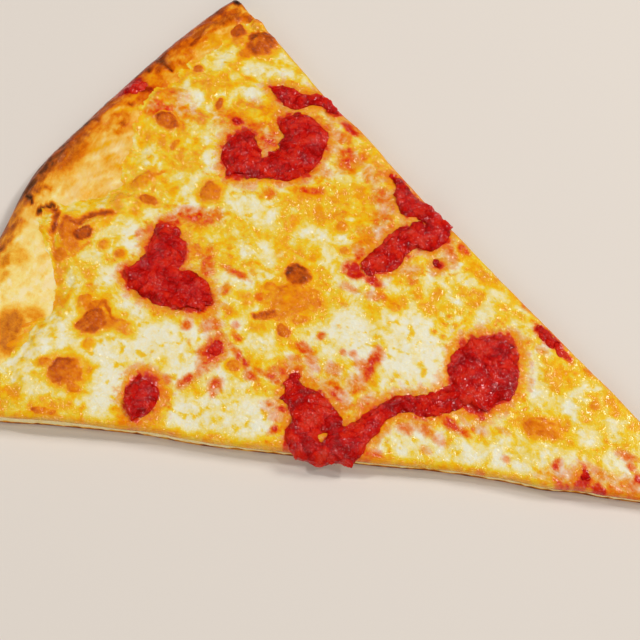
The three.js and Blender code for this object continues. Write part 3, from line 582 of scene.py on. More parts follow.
def dough_under(radius, angle):
    """Underside: flat on the table, curled up under the rim by a quarter circle."""
    curl = 1 - np.clip((rim_radius(angle) - radius) / RIM_LIFT_WIDTH, 0, 1)
    return RIM_EDGE_LOW * (1 - np.sqrt(1 - curl * curl))


def blister_height(x, y):
    """Blisters as smooth swellings with rough tops, and the creases cut into them."""
    wobble = 0.16 * rough_noise(x, y, 3.2, 31, 3)
    pits = 0.5 + 0.5 * rough_noise(x, y, 1.5, 32, 2)
    total = np.zeros_like(x)
    for blister in BLISTERS:
        reach = spot_reach(x, y, blister, SPOT_SHIFT) + wobble
        dome = smoothstep(-reach, -1.25, -0.35)
        brown = smoothstep(blister[6], 0.3, 0.7)
        total = np.maximum(total, 0.95 * blister[5] * dome * (1 - 0.6 * brown * pits))
    for points, half_width, depth, _ in CREASES:
        away = path_distance(x, y, points, SPOT_SHIFT) + wobble
        total = total - depth * np.exp(-((away / half_width) ** 2))
    return total


def cheese_front(x, y, angle):
    """Distance of the cheese's front from the pie's centre: a line given by angle, made ragged."""
    ragged = 1.7 * rough_noise(x, y, 7, 41, 3)
    return rim_radius(angle) - through(CHEESE_FRONT, np.degrees(angle)) + ragged


def cheese_thickness(x, y):
    """The layer of cheese over the dough: about 2 mm with low waves, thinner at the cuts, fading
    out at its front, where it goes below the dough's top."""
    radius, angle = pie_terms(x, y)
    to_cut = np.maximum(-past_cut(x, y), 0)
    body = lerp(1.75, 2.2, smoothstep(to_cut, 0, 8))
    waves = 0.22 * np.sin(x / 9 + 1.1 * np.sin(y / 13)) + 0.18 * np.cos(y / 7 + x / 21)
    dimples = 0.28 * rough_noise(x, y, 9, 51, 3, 0.6)
    bent = 1.6 * noise(x, y, 5, 54)
    dimples = dimples - 0.13 * np.abs(rough_noise(x + bent, y - bent, 4.4, 55, 3, 0.6)) + 0.05
    behind = cheese_front(x, y, angle) - radius
    shown = smoothstep(behind, 0, 9) * 0.84 + smoothstep(behind, -0.3, 2.2) * 0.16
    thickness = (body + waves + dimples + 0.3) * shown - 1.2 * smoothstep(-behind, 0, 3)
    return thickness


def cheese_top(x, y):
    radius, angle = pie_terms(x, y)
    return dough_top(radius, angle) + cheese_thickness(x, y) + blister_height(x, y)


# ---------------------------------------------------------------- putting arrays into meshes

MERGE_DISTANCE = 2e-6  # m, between points that count as one
SHORTEST_EDGE = 1e-7


def grid_quads(rows, columns, start=0, loop=False):
    """Four-cornered faces of a grid whose points run row by row."""
    row, column = np.mgrid[0 : rows - 1, 0 : columns if loop else columns - 1]
    beside = (column + 1) % columns
    corners = (
        row * columns + column, row * columns + beside,
        (row + 1) * columns + beside, (row + 1) * columns + column,
    )
    return start + np.stack(corners, -1).reshape(-1, 4)


def mesh_object(name, points, faces, fields=None):
    """A closed mesh object from points in mm: doubles merged, normals outward, shaded smooth, with
    each field as a number on its points."""
    mesh = bpy.data.meshes.new(name)
    mesh.from_pydata((points * MM).tolist(), [], faces)
    for key, values in (fields or {}).items():
        attribute = mesh.attributes.new(key, "FLOAT", "POINT")
        attribute.data.foreach_set("value", np.asarray(values, np.float32))
    shape = bmesh.new()
    shape.from_mesh(mesh)
    bmesh.ops.remove_doubles(shape, verts=shape.verts, dist=MERGE_DISTANCE)
    bmesh.ops.dissolve_degenerate(shape, edges=shape.edges, dist=SHORTEST_EDGE)
    bmesh.ops.recalc_face_normals(shape, faces=shape.faces)
    shape.to_mesh(mesh)
    shape.free()
    mesh.shade_smooth()
    obj = bpy.data.objects.new(name, mesh)
    bpy.context.scene.collection.objects.link(obj)
    return obj


# ---------------------------------------------------------------- making materials


def linear(hex_colour):
    """An sRGB hex colour as linear red, green, blue and 1."""
    channels = np.array([int(hex_colour[i : i + 2], 16) / 255 for i in (1, 3, 5)])
    curved = np.where(channels <= 0.04045, channels / 12.92, ((channels + 0.055) / 1.055) ** 2.4)
    return (*curved.tolist(), 1.0)


def new_material(name):
    """An empty node material, and its tree."""
    material = bpy.data.materials.new(name)
    material.use_nodes = True
    material.node_tree.nodes.clear()
    return material, material.node_tree


def node(tree, kind, inputs=None, **settings):
    """Adds a node: settings are its own properties, and each input is a value or a socket."""
    made = tree.nodes.new(kind)
    for key, value in settings.items():
        setattr(made, key, value)
    for key, value in (inputs or {}).items():
        if isinstance(value, bpy.types.NodeSocket):
            tree.links.new(value, made.inputs[key])
        else:
            made.inputs[key].default_value = value
    return made


def field(tree, name):
    """A number that lies on the mesh's points, by its name."""
    return node(tree, "ShaderNodeAttribute", attribute_name=name).outputs["Fac"]


def texture(tree, where, width, detail, roughness=0.6, distortion=0.0):
    """Noise about 0.5, whose largest features are about `width` metres wide."""
    return node(tree, "ShaderNodeTexNoise", {
        "Vector": where, "Scale": 1 / width, "Detail": detail, "Roughness": roughness,
        "Distortion": distortion,
    }).outputs["Fac"]


def remap(tree, value, low, high, to_low=0.0, to_high=1.0, clamp=True):
    """Stretches low..high to to_low..to_high."""
    return node(tree, "ShaderNodeMapRange", {
        "Value": value, "From Min": low, "From Max": high, "To Min": to_low, "To Max": to_high,
    }, clamp=clamp).outputs["Result"]


def calc(tree, operation, *values):
    return node(tree, "ShaderNodeMath", dict(enumerate(values)), operation=operation).outputs[0]


def mix(tree, factor, under, over, blend="MIX"):
    """One colour laid over another, by factor."""
    return node(tree, "ShaderNodeMix", {
        "Factor": factor, 6: under, 7: over,
    }, data_type="RGBA", blend_type=blend).outputs[2]


def colour_ramp(tree, value, stops):
    """A colour for each value, from (value, colour) pairs."""
    made = node(tree, "ShaderNodeValToRGB", {"Fac": value})
    elements = made.color_ramp.elements
    while len(elements) < len(stops):
        elements.new(0.5)
    for element, (position, colour) in zip(elements, stops):
        element.position = position
        element.color = colour
    return made.outputs["Color"]


def bump(tree, height, strength, distance, normal=None):
    """A normal tilted by a height, on top of another bump if `normal` is given."""
    inputs = {"Height": height, "Strength": strength, "Distance": distance}
    if normal is not None:
        inputs["Normal"] = normal
    return node(tree, "ShaderNodeBump", inputs).outputs["Normal"]


def principled(tree, inputs):
    """The shader that the material shows."""
    shader = node(tree, "ShaderNodeBsdfPrincipled", inputs)
    node(tree, "ShaderNodeOutputMaterial", {"Surface": shader.outputs["BSDF"]})


def finish_piece(obj, material, slot, *replaced):
    """Gives a piece its material, puts it under the root body, and hides the nodes it replaces. Its
    slot is not used.
    """
    obj.data.materials.clear()
    obj.data.materials.append(material)
    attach(obj, "root")
    if replaced:
        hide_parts(*replaced)


# ---------------------------------------------------------------- baked dough


def crust_rows():
    """Each row's distance from the pie's centre as (fixed part, share of the rim's radius), from
    the point to the rim. Rows on the rim's outer slope are even steps of its quarter ellipse."""
    tip = TIP_START + np.array([0, 0.1, 0.35, 0.8, 1.4, 2.4, 3.8])
    middle = np.linspace(0, 1, 128)[1:]
    slope = np.concatenate([np.arange(RIM_WIDTH, RIM_CREST, -0.45), RIM_CREST * (
        1 - np.cos(np.linspace(math.pi / 2, 0, 22))
    )])
    fixed = np.concatenate([tip, lerp(tip[-1], -RIM_WIDTH, middle)[:-1], -slope])
    share = np.concatenate([np.zeros(len(tip)), middle[:-1], np.ones(len(slope))])
    return fixed, share


def crust_surfaces(columns=161, wall_steps=9):
    """The dough as four grids in (distance from the centre, share across the slice): the top, the
    underside, and a wall at each cut, whose crumb is pushed in and out by noise. Top and underside
    meet at the point and at the rim's nose by quarter circles."""
    fixed, share = crust_rows()
    even = np.linspace(-1, 1, columns)
    across = 0.6 * even + 0.4 * np.sin(even * math.pi / 2)
    rough = fixed[:, None] + share[:, None] * PIE_RADIUS
    angle = across[None, :] * half_angle(rough, across[None, :])
    radius = fixed[:, None] + share[:, None] * rim_radius(angle)
    top = dough_top(radius, angle)
    under = dough_under(radius, angle)
    to_tip = np.clip((radius - TIP_START) / 1.2, 0, 1)
    swell = np.sqrt(to_tip * (2 - to_tip))
    middle = lerp(under, top, 0.5)
    top = lerp(middle, top, swell)
    under = lerp(middle, under, swell)
    edge = smoothstep(radius * (half_angle(radius, angle) - np.abs(angle)), 1.1, 0)
    top = top - 0.45 * edge * edge * swell
    nose = np.sin(np.linspace(0, math.pi / 2, 6))[1:, None]
    nose_radius = radius[-1:] + RIM_NOSE * nose
    nose_angle = np.repeat(angle[-1:], len(nose), 0)
    nose_drop = np.sqrt(np.maximum(1 - nose * nose, 0))
    nose_middle = lerp(under[-1:], top[-1:], 0.5)
    top = np.concatenate([top, lerp(nose_middle, top[-1:], nose_drop)])
    under = np.concatenate([under, lerp(nose_middle, under[-1:], nose_drop)])
    radius = np.concatenate([radius, nose_radius])
    angle = np.concatenate([angle, nose_angle])
    x, y = place(radius, angle)
    grids = [np.stack([x, y, top], -1), np.stack([x, y, np.maximum(under, 0)], -1)]
    up = np.linspace(0, 1, wall_steps)[None, :]
    for side in (slice(0, 1), slice(-1, None)):
        wall_radius = radius[:, side]
        wall_angle = angle[:, side]
        low = under[:, side]
        high = top[:, side]
        z = lerp(low, high, up)
        pocket, _ = cells(wall_radius * 0.7 + z * 0.2, z, 1.7, 22)
        push = 0.25 * rough_noise(wall_radius, z * 1.6, 2.6, 23, 3)
        push = push - 0.35 * np.clip(1 - (pocket / 0.42) ** 2, 0, 1) - 0.12
        push = push * np.sqrt(np.clip(4 * up * (1 - up), 0, 1)) * smoothstep(high - low, 0.3, 1.5)
        turned = wall_angle + np.sign(wall_angle) * push / wall_radius
        wx, wy = place(wall_radius + 0 * up, turned)
        grids.append(np.stack([wx, wy, z], -1))
    return grids


def crust_toast(x, y, radius, angle):
    """How brown the dough is, 0 raw to 1 burnt: three smooth steps down from the rim's edge, with
    noise and streaks, then pale spots that cap it, and brown spots and creases that lift it."""
    inward = rim_radius(angle) - radius
    blur = rough_noise(x, y, 8, 61, 4)
    fine = rough_noise(x, y, 2.4, 62, 3)
    streak = rim_streaks(inward, angle)
    at = inward - through(RIM_BAND, np.degrees(angle)) + 1.5 * blur + 0.8 * streak
    golden = smoothstep(np.degrees(angle), 2, 12)
    toast = lerp(0.7, 0.5, smoothstep(at, -5.5, 1.2))
    toast = lerp(toast, 0.24 + 0.12 * golden, smoothstep(at, 0.5, 6))
    toast = lerp(toast, 0.12 + 0.14 * golden, smoothstep(at, 6, 13))
    toast = toast + 0.16 * fine + 0.14 * blur + 0.24 * streak + 0.02
    warp = 0.28 * fine
    pale = spots(x, y, RIM_PALE, RIM_SHIFT, warp, 0.9)
    faint = 0.07 + 0.08 * fine + 0.14 * rough_noise(x, y, 6, 70, 4) + 0.1 * streak
    toast = lerp(toast, np.minimum(toast, faint), np.clip(pale, 0, 1))
    brown = spots(x, y, RIM_BROWN, RIM_SHIFT, warp, 0.8)
    toast = np.maximum(toast, brown + 0.06 * fine * (brown > 0))
    for reach, _, burnt in rim_creases(x, y):
        toast = np.maximum(toast, burnt * np.exp(-((reach / 1.15) ** 2)))
    return toast


@np.errstate(invalid="ignore")
def crust_fields(points, part):
    """Colour fields of the dough: toast, stain of sauce, oil and flour. part is 0 on top, 1
    underneath, where noise makes leopard spots, and 2 on the cuts, where pale crumb lies between a
    thin baked skin below and the colour of the top."""
    x, y, z = points.T
    radius, angle = pie_terms(x, y)
    inward = rim_radius(angle) - radius
    warp = 0.25 * rough_noise(x, y, 2.4, 64, 3)
    toast = crust_toast(x, y, radius, angle)
    leopard = smoothstep(rough_noise(x, y, 7, 65, 4), 0.12, 0.6)
    floor_toast = 0.34 + 0.12 * rough_noise(x, y, 22, 66, 3) + 0.46 * leopard
    floor_toast = np.maximum(floor_toast, 0.62 * smoothstep(inward, 9, 0))
    top = dough_top(radius, angle, False)
    low = dough_under(radius, angle)
    line = 0.55 + 0.25 * rough_noise(radius, z, 5, 67, 3)
    crumb = 0.02 + 0.05 * rough_noise(radius, z * 1.5, 3, 68, 3)
    crumb = crumb + 0.75 * smoothstep(z - low, line + 0.5, line * 0.5)
    crumb = np.maximum(crumb, toast * smoothstep(top - z, 1.1, 0.1))
    toast = np.where(part == 1, floor_toast, np.where(part == 2, crumb, toast))
    on_top = part != 1
    stain = spots(x, y, RIM_STAINS, RIM_SHIFT, warp, 0.8) * on_top
    stain = np.maximum(stain, (0.07 + 0.05 * warp) * (part == 2))
    oil = spots(x, y, RIM_OIL, RIM_SHIFT, warp, 1.1) * (part == 0)
    near_cheese = smoothstep(cheese_front(x, y, angle) - radius, -9, 1)
    near_cheese = near_cheese * lerp(0.15, 1.0, smoothstep(np.degrees(angle), -4, 2))
    uneven = 0.5 * rough_noise(x, y, 7, 71, 4)
    uneven = uneven + 0.9 * rim_streaks(inward, angle, 0.3, 2.6, 72, 4, 0.65)
    greasy = np.maximum(through(RIM_GREASE, np.degrees(angle)), near_cheese)
    oil = np.maximum(oil, (greasy * (1 + 0.7 * uneven) + 0.1 * uneven) * (part == 0))
    flour = smoothstep(rough_noise(x, y, 11, 69, 5), 0.1, 0.9) * (part == 1)
    return {"toast": toast, "stain": stain, "oil": oil, "flour": flour}


def dough_material():
    """Baked wheat dough, stretched and baked on stone: dry and matt where pale, with a thin skin
    that turns golden, brown and black with heat and takes a dull shine there."""
    settings = bpy.context.scene.pizza_crust
    material, tree = new_material("Baked Wheat Dough")
    where = node(tree, "ShaderNodeTexCoord").outputs["Object"]
    toast, stain, oil, flour = (field(tree, key) for key in ("toast", "stain", "oil", "flour"))
    # skin mottling about 1.6 mm wide, and grain about 0.5 mm
    mottle = texture(tree, where, 0.0016, 4.0)
    grain = texture(tree, where, 0.0005, 2.0)
    shift = remap(tree, mottle, 0.3, 0.7, -0.07, 0.07)
    shift_fine = remap(tree, grain, 0.3, 0.7, -0.035, 0.035)
    browned = calc(tree, "ADD", toast, calc(tree, "ADD", shift, shift_fine))
    baked = colour_ramp(tree, browned, (
        (0.0, settings.raw_colour), (0.12, settings.pale_colour), (0.3, settings.golden_colour),
        (0.46, settings.amber_colour), (0.64, settings.brown_colour), (0.82, settings.dark_colour),
        (1.0, settings.char_colour),
    ))
    # oil and sauce soak in, and take away blue and green
    oiled = calc(tree, "MULTIPLY", oil, 0.85)
    colour = mix(tree, oiled, baked, settings.oiled_colour, "MULTIPLY")
    sauced = remap(tree, calc(tree, "ADD", stain, shift), 0.05, 0.95)
    colour = mix(tree, sauced, colour, settings.stained_colour, "MULTIPLY")
    colour = mix(tree, remap(tree, sauced, 0.6, 1.0), colour, settings.sauced_colour)
    colour = mix(tree, calc(tree, "MULTIPLY", flour, 0.5), colour, settings.flour_colour)
    roughness = node(tree, "ShaderNodeMix", {
        "Factor": oil, "A": remap(tree, browned, 0.1, 0.7, 0.62, 0.42), "B": 0.22,
    }, data_type="FLOAT").outputs["Result"]
    normal = bump(tree, grain, 0.4, 0.0002, bump(tree, mottle, 0.5, 0.0005))
    principled(tree, {
        "Base Color": colour, "Roughness": roughness, "Normal": normal, "IOR": 1.42,
        "Subsurface Weight": 0.08, "Subsurface Radius": (1.0, 0.55, 0.3),
        "Subsurface Scale": 0.0012, "Specular IOR Level": 0.3,
        "Specular Tint": (1.0, 0.75, 0.35, 1.0),
    })
    return material


# ---------------------------------------------------------------- melted cheese


def fan_points(rows):
    """Row and place of each point of a fan: row i has i + 1 points, so its triangles stay even."""
    row, column = np.tril_indices(rows + 1)
    return row, column


def fan_faces(rows):
    """The fan's triangles: upright ones, and those that hang between them."""
    row, column = np.tril_indices(rows)
    first = row * (row + 1) // 2 + column
    below = (row + 1) * (row + 2) // 2 + column
    upright = np.stack([first, below, below + 1], -1)
    inner = column < row
    hanging = np.stack([first[inner], below[inner] + 1, first[inner] + 1], -1)
    return np.concatenate([upright, hanging])


def droop(x, y, angle):
    """How far the cheese hangs down the cut, 0 none to 1 nearly to the table."""
    lower = lerp(0.06, 0.42, smoothstep(x, -58, -42)) + 0.12 * rough_noise(x, y, 9, 71, 2)
    upper = 0.5 + 0.4 * rough_noise(x, y, 11, 72, 3)
    return np.clip(np.where(angle < 0, lower, upper), 0.02, 1)


def outward(x, y):
    """Unit vectors out of a closed loop of points, square to the line between each point's two
    neighbours."""
    dx = np.roll(x, -1) - np.roll(x, 1)
    dy = np.roll(y, -1) - np.roll(y, 1)
    size = np.maximum(np.hypot(dx, dy), 1e-6)
    out_x, out_y = -dy / size, dx / size
    flip = np.sign(np.sum(out_x * (x - x.mean()) + out_y * (y - y.mean())))
    return out_x * flip, out_y * flip


def cheese_floor(x, y):
    """The underside of the cheese, as points sunk a little into the dough."""
    return np.stack([x, y, dough_top(*pie_terms(x, y), False) - 0.3], -1)


def cheese_surfaces(rows=372):
    """The cheese as a fan in (distance from the centre, share across), whose edge is hung with
    rings that bulge out and run down the cut, and closed underneath by rings drawn together."""
    row, column = fan_points(rows)
    across = np.where(row > 0, 2 * column / np.maximum(row, 1) - 1, 0)
    start = TIP_START + 0.5
    share = row / rows
    rough = lerp(start, PIE_RADIUS - 12, share)
    angle = across * half_angle(rough, across, 0.25)
    front = rim_radius(angle) - through(CHEESE_FRONT, np.degrees(angle)) + 4.5
    radius = lerp(start, front, share)
    x, y = place(radius, angle)
    edge = smoothstep(-past_cut(x, y), 1.6, 0.1)
    z = cheese_top(x, y) - 0.5 * edge * edge

    lower = np.flatnonzero(column == 0)
    last = np.flatnonzero(row == rows)[1:]
    upper = np.flatnonzero((column == row) & (row < rows) & (row > 0))[::-1]
    loop = np.concatenate([lower, last, upper])
    lx, ly, lz = x[loop], y[loop], z[loop]
    out_x, out_y = outward(lx, ly)
    loop_radius, loop_angle = pie_terms(lx, ly)
    at_cut = smoothstep(cheese_front(lx, ly, loop_angle) - loop_radius, 0, 5)
    bed = dough_top(loop_radius, loop_angle)
    hang = droop(lx, ly, loop_angle)
    ripple = rough_noise(lx, ly, 5, 73, 3)
    foot = lerp(bed - 0.2, 0.75 + 0.25 * ripple, hang)
    foot = lerp(lz - 0.5, foot, at_cut)
    rings = []
    for part in (0.1, 0.25, 0.42, 0.6, 0.78, 0.92, 1.0):
        bulge = (0.22 + 0.4 * hang + 0.12 * ripple) * math.sin(math.pi * min(part, 0.94)) ** 0.6
        out = at_cut * (bulge + 0.15 * hang * part)
        rings.append(np.stack([lx + out * out_x, ly + out * out_y, lerp(lz, foot, part)], -1))
    for inset in (0.5, 1.3):
        inner = np.stack([lx - inset * out_x, ly - inset * out_y, np.minimum(bed, lz) - 0.3], -1)
        rings.append(inner)
    for shrink in (0.85, 0.65, 0.45, 0.25, 0.1):
        rings.append(cheese_floor(lerp(lx.mean(), lx, shrink), lerp(ly.mean(), ly, shrink)))
    rings.append(cheese_floor(lx.mean(), ly.mean())[None, :])
    skirt = np.concatenate(rings)
    points = np.concatenate([np.stack([x, y, z], -1), skirt])
    count = len(loop)
    joined = np.concatenate([loop, len(x) + np.arange(len(skirt) - 1)])
    quads = joined[grid_quads(len(rings), count, loop=True)]
    innermost = joined[-count:]
    centre = np.full(count, len(points) - 1)
    cap = np.stack([innermost, np.roll(innermost, -1), centre], -1)
    return points, fan_faces(rows).tolist() + quads.tolist() + cap.tolist()


def sauce_distance(x, y):
    """Distance to the edge of the nearest dollop or splash, below 0 inside it."""
    best = np.full(np.shape(x), FAR)
    groups = [runs for _, runs in DOLLOPS.values()] + [SPLASHES[2:]]
    for runs in groups:
        for run in runs:
            path, half_width = run_path(run, 40)
            for (px, py), width in zip(path, half_width):
                near = np.abs(x - px) + np.abs(y - py) < 30
                away = np.hypot(x[near] - px, y[near] - py) - width
                best[near] = np.minimum(best[near], away)
    return best


def cheese_fields(points):
    """Colour fields of the cheese: oil (0 white, 1 yellow), toast, and stain of sauce. Each starts
    as noise and is pulled to its amount inside placed spots, near a cut, at the cheese's front and
    round the sauce."""
    x, y, _ = points.T
    wide = rough_noise(x, y, 11, 81, 3)
    bent = 2.2 * noise(x, y, 6, 85)
    mid = rough_noise(x + bent, y - bent, 4.2, 82, 4, 0.6)
    fine = rough_noise(x + 0.4 * bent, y, 1.6, 83, 3, 0.65)
    warp = 0.3 * rough_noise(x, y, 3.4, 84, 3)
    white = spots(x, y, WHITE_POOLS, SPOT_SHIFT, warp, 0.85)
    yellow = spots(x, y, OIL_POOLS, SPOT_SHIFT, warp, 0.85)
    flecks = smoothstep(rough_noise(x - bent, y, 3, 87, 3, 0.5), 0.22, 0.8)
    oil = 0.44 + 0.16 * wide + 0.48 * mid + 0.12 * fine
    oil = lerp(oil, 0.84 + 0.3 * mid + 0.1 * fine, np.clip(yellow, 0, 1))
    oil = lerp(oil, 0.04 + 0.16 * mid + 0.6 * flecks, np.clip(white, 0, 1) * 0.94)
    to_cut = -past_cut(x, y)
    oil = np.maximum(oil, (0.8 + 0.25 * mid) * smoothstep(to_cut, 3.0, 0.2))
    radius, angle = pie_terms(x, y)
    to_front = cheese_front(x, y, angle) - radius
    sunny = smoothstep(np.degrees(angle), -6, -1)
    oil = np.maximum(oil, (0.62 + 0.4 * mid) * sunny * smoothstep(to_front, 7, 1))

    toast = np.zeros_like(x)
    rim = np.zeros_like(x)
    for blister in BLISTERS:
        reach = spot_reach(x, y, blister, SPOT_SHIFT) + warp * 0.8 + 0.08 * fine
        inside = smoothstep(-reach, -1.36, -0.86)
        brown = blister[6]
        # painted shade: a browner ring is laid round each blister on one side only, a darker edge where
        # shade would fall
        shade_side = 0.6 * (blister[1] - y) - 0.8 * (blister[0] - x)
        one_sided_shade_ring = smoothstep(np.abs(reach - 0.85), 0.3, 0.05) * smoothstep(-shade_side, -1, 2)
        shade = brown * (0.92 + 0.22 * one_sided_shade_ring) + 0.1 * mid + 0.1 * fine
        toast = np.maximum(toast, inside * shade)
        rim = np.maximum(rim, smoothstep(-reach, -2.1, -1.1) * smoothstep(brown, 0.2, 0.55))
    for crease, half_width, _, burnt in CREASES:
        away = path_distance(x, y, crease, SPOT_SHIFT) + 0.5 * fine
        toast = np.maximum(toast, burnt * np.exp(-((away / (1.1 * half_width)) ** 2)))
    freckle = smoothstep(fine + 0.6 * mid, 0.72, 1.15) * 0.3
    oil = np.clip(np.maximum(oil, (0.86 + 0.1 * mid) * rim), 0, 1.1)
    toast = np.maximum(toast, freckle * smoothstep(oil, 0.35, 0.7))
    toast = np.maximum(toast, (0.18 + 0.2 * mid) * sunny * smoothstep(to_front, 4, 0.5))
    along_cut = rough_noise(x, y, 6, 86, 3)
    toast = np.maximum(toast, (0.18 + 0.28 * along_cut) * smoothstep(to_cut, 1.6, 0.3))

    smear = spots(x, y, SMEARS, SPOT_SHIFT, warp, 0.9)
    inside = sauce_distance(x, y)
    away = inside + 1.7 * mid + 1.3 * wide + 0.5 * fine
    halo = lerp(0.88, 0.42, smoothstep(away, -1.4, 0.6)) * smoothstep(away, 4.4, 0.8)
    halo = np.where(inside < -1.4, 1.1, halo)
    stain = np.maximum(smear * (1 + 0.3 * mid + 0.2 * fine), halo)
    oil = np.maximum(oil, (0.64 + 0.4 * mid) * smoothstep(away, 3.0, 0.6))
    oil = np.maximum(oil, (0.5 + 0.4 * mid) * smoothstep(smear, 0.3, 0.7))
    specks = smoothstep(mid + 0.5 * fine, 0.55, 1.0) * smoothstep(away, 14, 3) * 0.42
    stain = np.maximum(stain, specks)
    return {"oil": oil, "toast": toast, "stain": np.clip(stain, 0, 1.2)}


def cheese_material():
    """Low-moisture mozzarella, melted and browned in the oven: milky and slightly see-through, with
    a wet film of yellow butterfat that pools and glints, stained orange by the sauce."""
    settings = bpy.context.scene.pizza_cheese
    material, tree = new_material("Melted Mozzarella")
    where = node(tree, "ShaderNodeTexCoord").outputs["Object"]
    oil, toast, stain = (field(tree, key) for key in ("oil", "toast", "stain"))
    # curds about 1.3 mm wide, and a film that wrinkles at about 0.5 mm
    curd = texture(tree, where, 0.0013, 4.0, 0.62, 0.4)
    film = texture(tree, where, 0.0005, 3.0)
    curd_shift = remap(tree, curd, 0.3, 0.7, -1.0, 1.0, clamp=False)
    film_shift = remap(tree, film, 0.3, 0.7, -1.0, 1.0, clamp=False)
    both = calc(tree, "MULTIPLY_ADD", film_shift, 0.55, curd_shift)
    oily = calc(tree, "MULTIPLY_ADD", both, 0.13, oil)
    toasted = calc(tree, "MULTIPLY_ADD", both, 0.05, toast)
    sauced = calc(tree, "MULTIPLY_ADD", both, 0.08, stain)
    colour = colour_ramp(tree, oily, (
        (0.0, settings.milk_colour), (0.28, settings.cream_colour), (0.52, settings.straw_colour),
        (0.78, settings.butter_colour), (1.0, settings.oil_colour),
    ))
    # sauce soaks in: it takes away green and blue, so white turns pink and yellow turns orange
    colour = mix(tree, remap(tree, sauced, 0.1, 0.75), colour, settings.stain_colour, "MULTIPLY")
    sauce_colour = bpy.context.scene.pizza_sauce.deep_colour
    colour = mix(tree, remap(tree, sauced, 0.66, 0.95), colour, sauce_colour)
    browning = colour_ramp(tree, toasted, [
        (position, linear(hex_colour)) for position, hex_colour in CHEESE_BROWNING
    ])
    colour = mix(tree, remap(tree, toasted, 0.16, 0.44), colour, browning)
    roughness = remap(tree, both, -1.2, 1.2, 0.12, 0.46)
    crusty = remap(tree, toast, 0.35, 0.6, 0.45, 0.75)
    normal = bump(tree, film, 0.7, 0.00022, bump(tree, curd, crusty, 0.0004))
    # the film of fat lies in patches about 5 mm wide, thin where the cheese is milky or toasted,
    # and has smooth ripples 1.7 mm wide of its own, so it glints in points
    wet = remap(tree, texture(tree, where, 0.005, 3.0), 0.4, 0.54, 0.1, 1.0)
    wet = calc(tree, "MULTIPLY", wet, remap(tree, toast, 0.3, 0.6, 1.0, 0.3))
    wet = calc(tree, "MULTIPLY", wet, remap(tree, oil, 0.1, 0.5, 0.4, 0.9))
    ripple = texture(tree, where, 0.0017, 1.0, 0.4, 0.5)
    principled(tree, {
        "Base Color": colour, "Roughness": roughness, "Normal": normal, "IOR": 1.45,
        "Subsurface Weight": 0.12, "Subsurface Radius": (1.0, 0.7, 0.35),
        "Subsurface Scale": 0.001, "Specular IOR Level": 0.2,
        "Specular Tint": (1.0, 0.7, 0.2, 1.0), "Coat Weight": wet, "Coat Roughness": 0.22,
        "Coat Normal": bump(tree, ripple, 1.0, 0.0013),
    })
    return material


# ---------------------------------------------------------------- tomato sauce


def run_path(run, count):
    """Points and half widths along a run: each of x, y and half width is a smooth curve of the
    distance along the run's corners."""
    corners = np.array(run, float)
    steps = np.hypot(*np.diff(corners[:, :2], axis=0).T)
    along = np.concatenate([[0], np.cumsum(steps)])
    at = along[-1] * (0.5 - 0.5 * np.cos(np.linspace(0, math.pi, count)))
    x, y, width = (through(np.stack([along, values], -1), at) for values in corners.T)
    ends = np.sin(np.linspace(0, math.pi, count)) ** 0.6
    return np.stack([x, y], -1), width * ends


def dollop_bed(x, y):
    """Height of the cheese under sauce, which falls away past a cut by a parabola."""
    over = np.maximum(past_cut(x, y), 0)
    return cheese_top(x, y) - 0.8 * over - 0.12 * over * over


def splash_bed(x, y):
    """Height of whatever food a splash lies on."""
    radius, angle = pie_terms(x, y)
    return np.maximum(dollop_bed(x, y), dough_top(radius, angle)) - 0.15


def run_surface(run, tall, lip, sides=20):
    """One run as a closed tube: rings of flattened circles along its path, `tall` above the cheese
    and `lip` below it, drawn in at both ends."""
    length = np.hypot(*np.diff(np.array(run)[:, :2], axis=0).T).sum()
    count = max(int(length / 1.2), 9)
    path, width = run_path(run, count)
    width = np.maximum(width, 0.02)
    ahead = np.gradient(path, axis=0)
    ahead /= np.maximum(np.hypot(*ahead.T), 1e-6)[:, None]
    turn = np.linspace(0, 2 * math.pi, sides, endpoint=False)
    aside = 1.06 * width[:, None] * np.cos(turn)
    x = path[:, :1] - ahead[:, 1:] * aside
    y = path[:, 1:] + ahead[:, :1] * aside
    narrow = np.minimum(1, width / SAUCE_FULL_WIDTH)[:, None]
    lift = np.sin(turn)[None, :]
    rise = np.where(lift > 0, tall * np.abs(lift) ** 1.8, -lip * np.abs(lift))
    points = np.stack([x, y, rise * narrow], -1).reshape(-1, 3)
    faces = grid_quads(count, sides, loop=True).tolist()
    faces.append(list(range(sides)))
    faces.append(list(range((count - 1) * sides, count * sides)))
    return points, faces


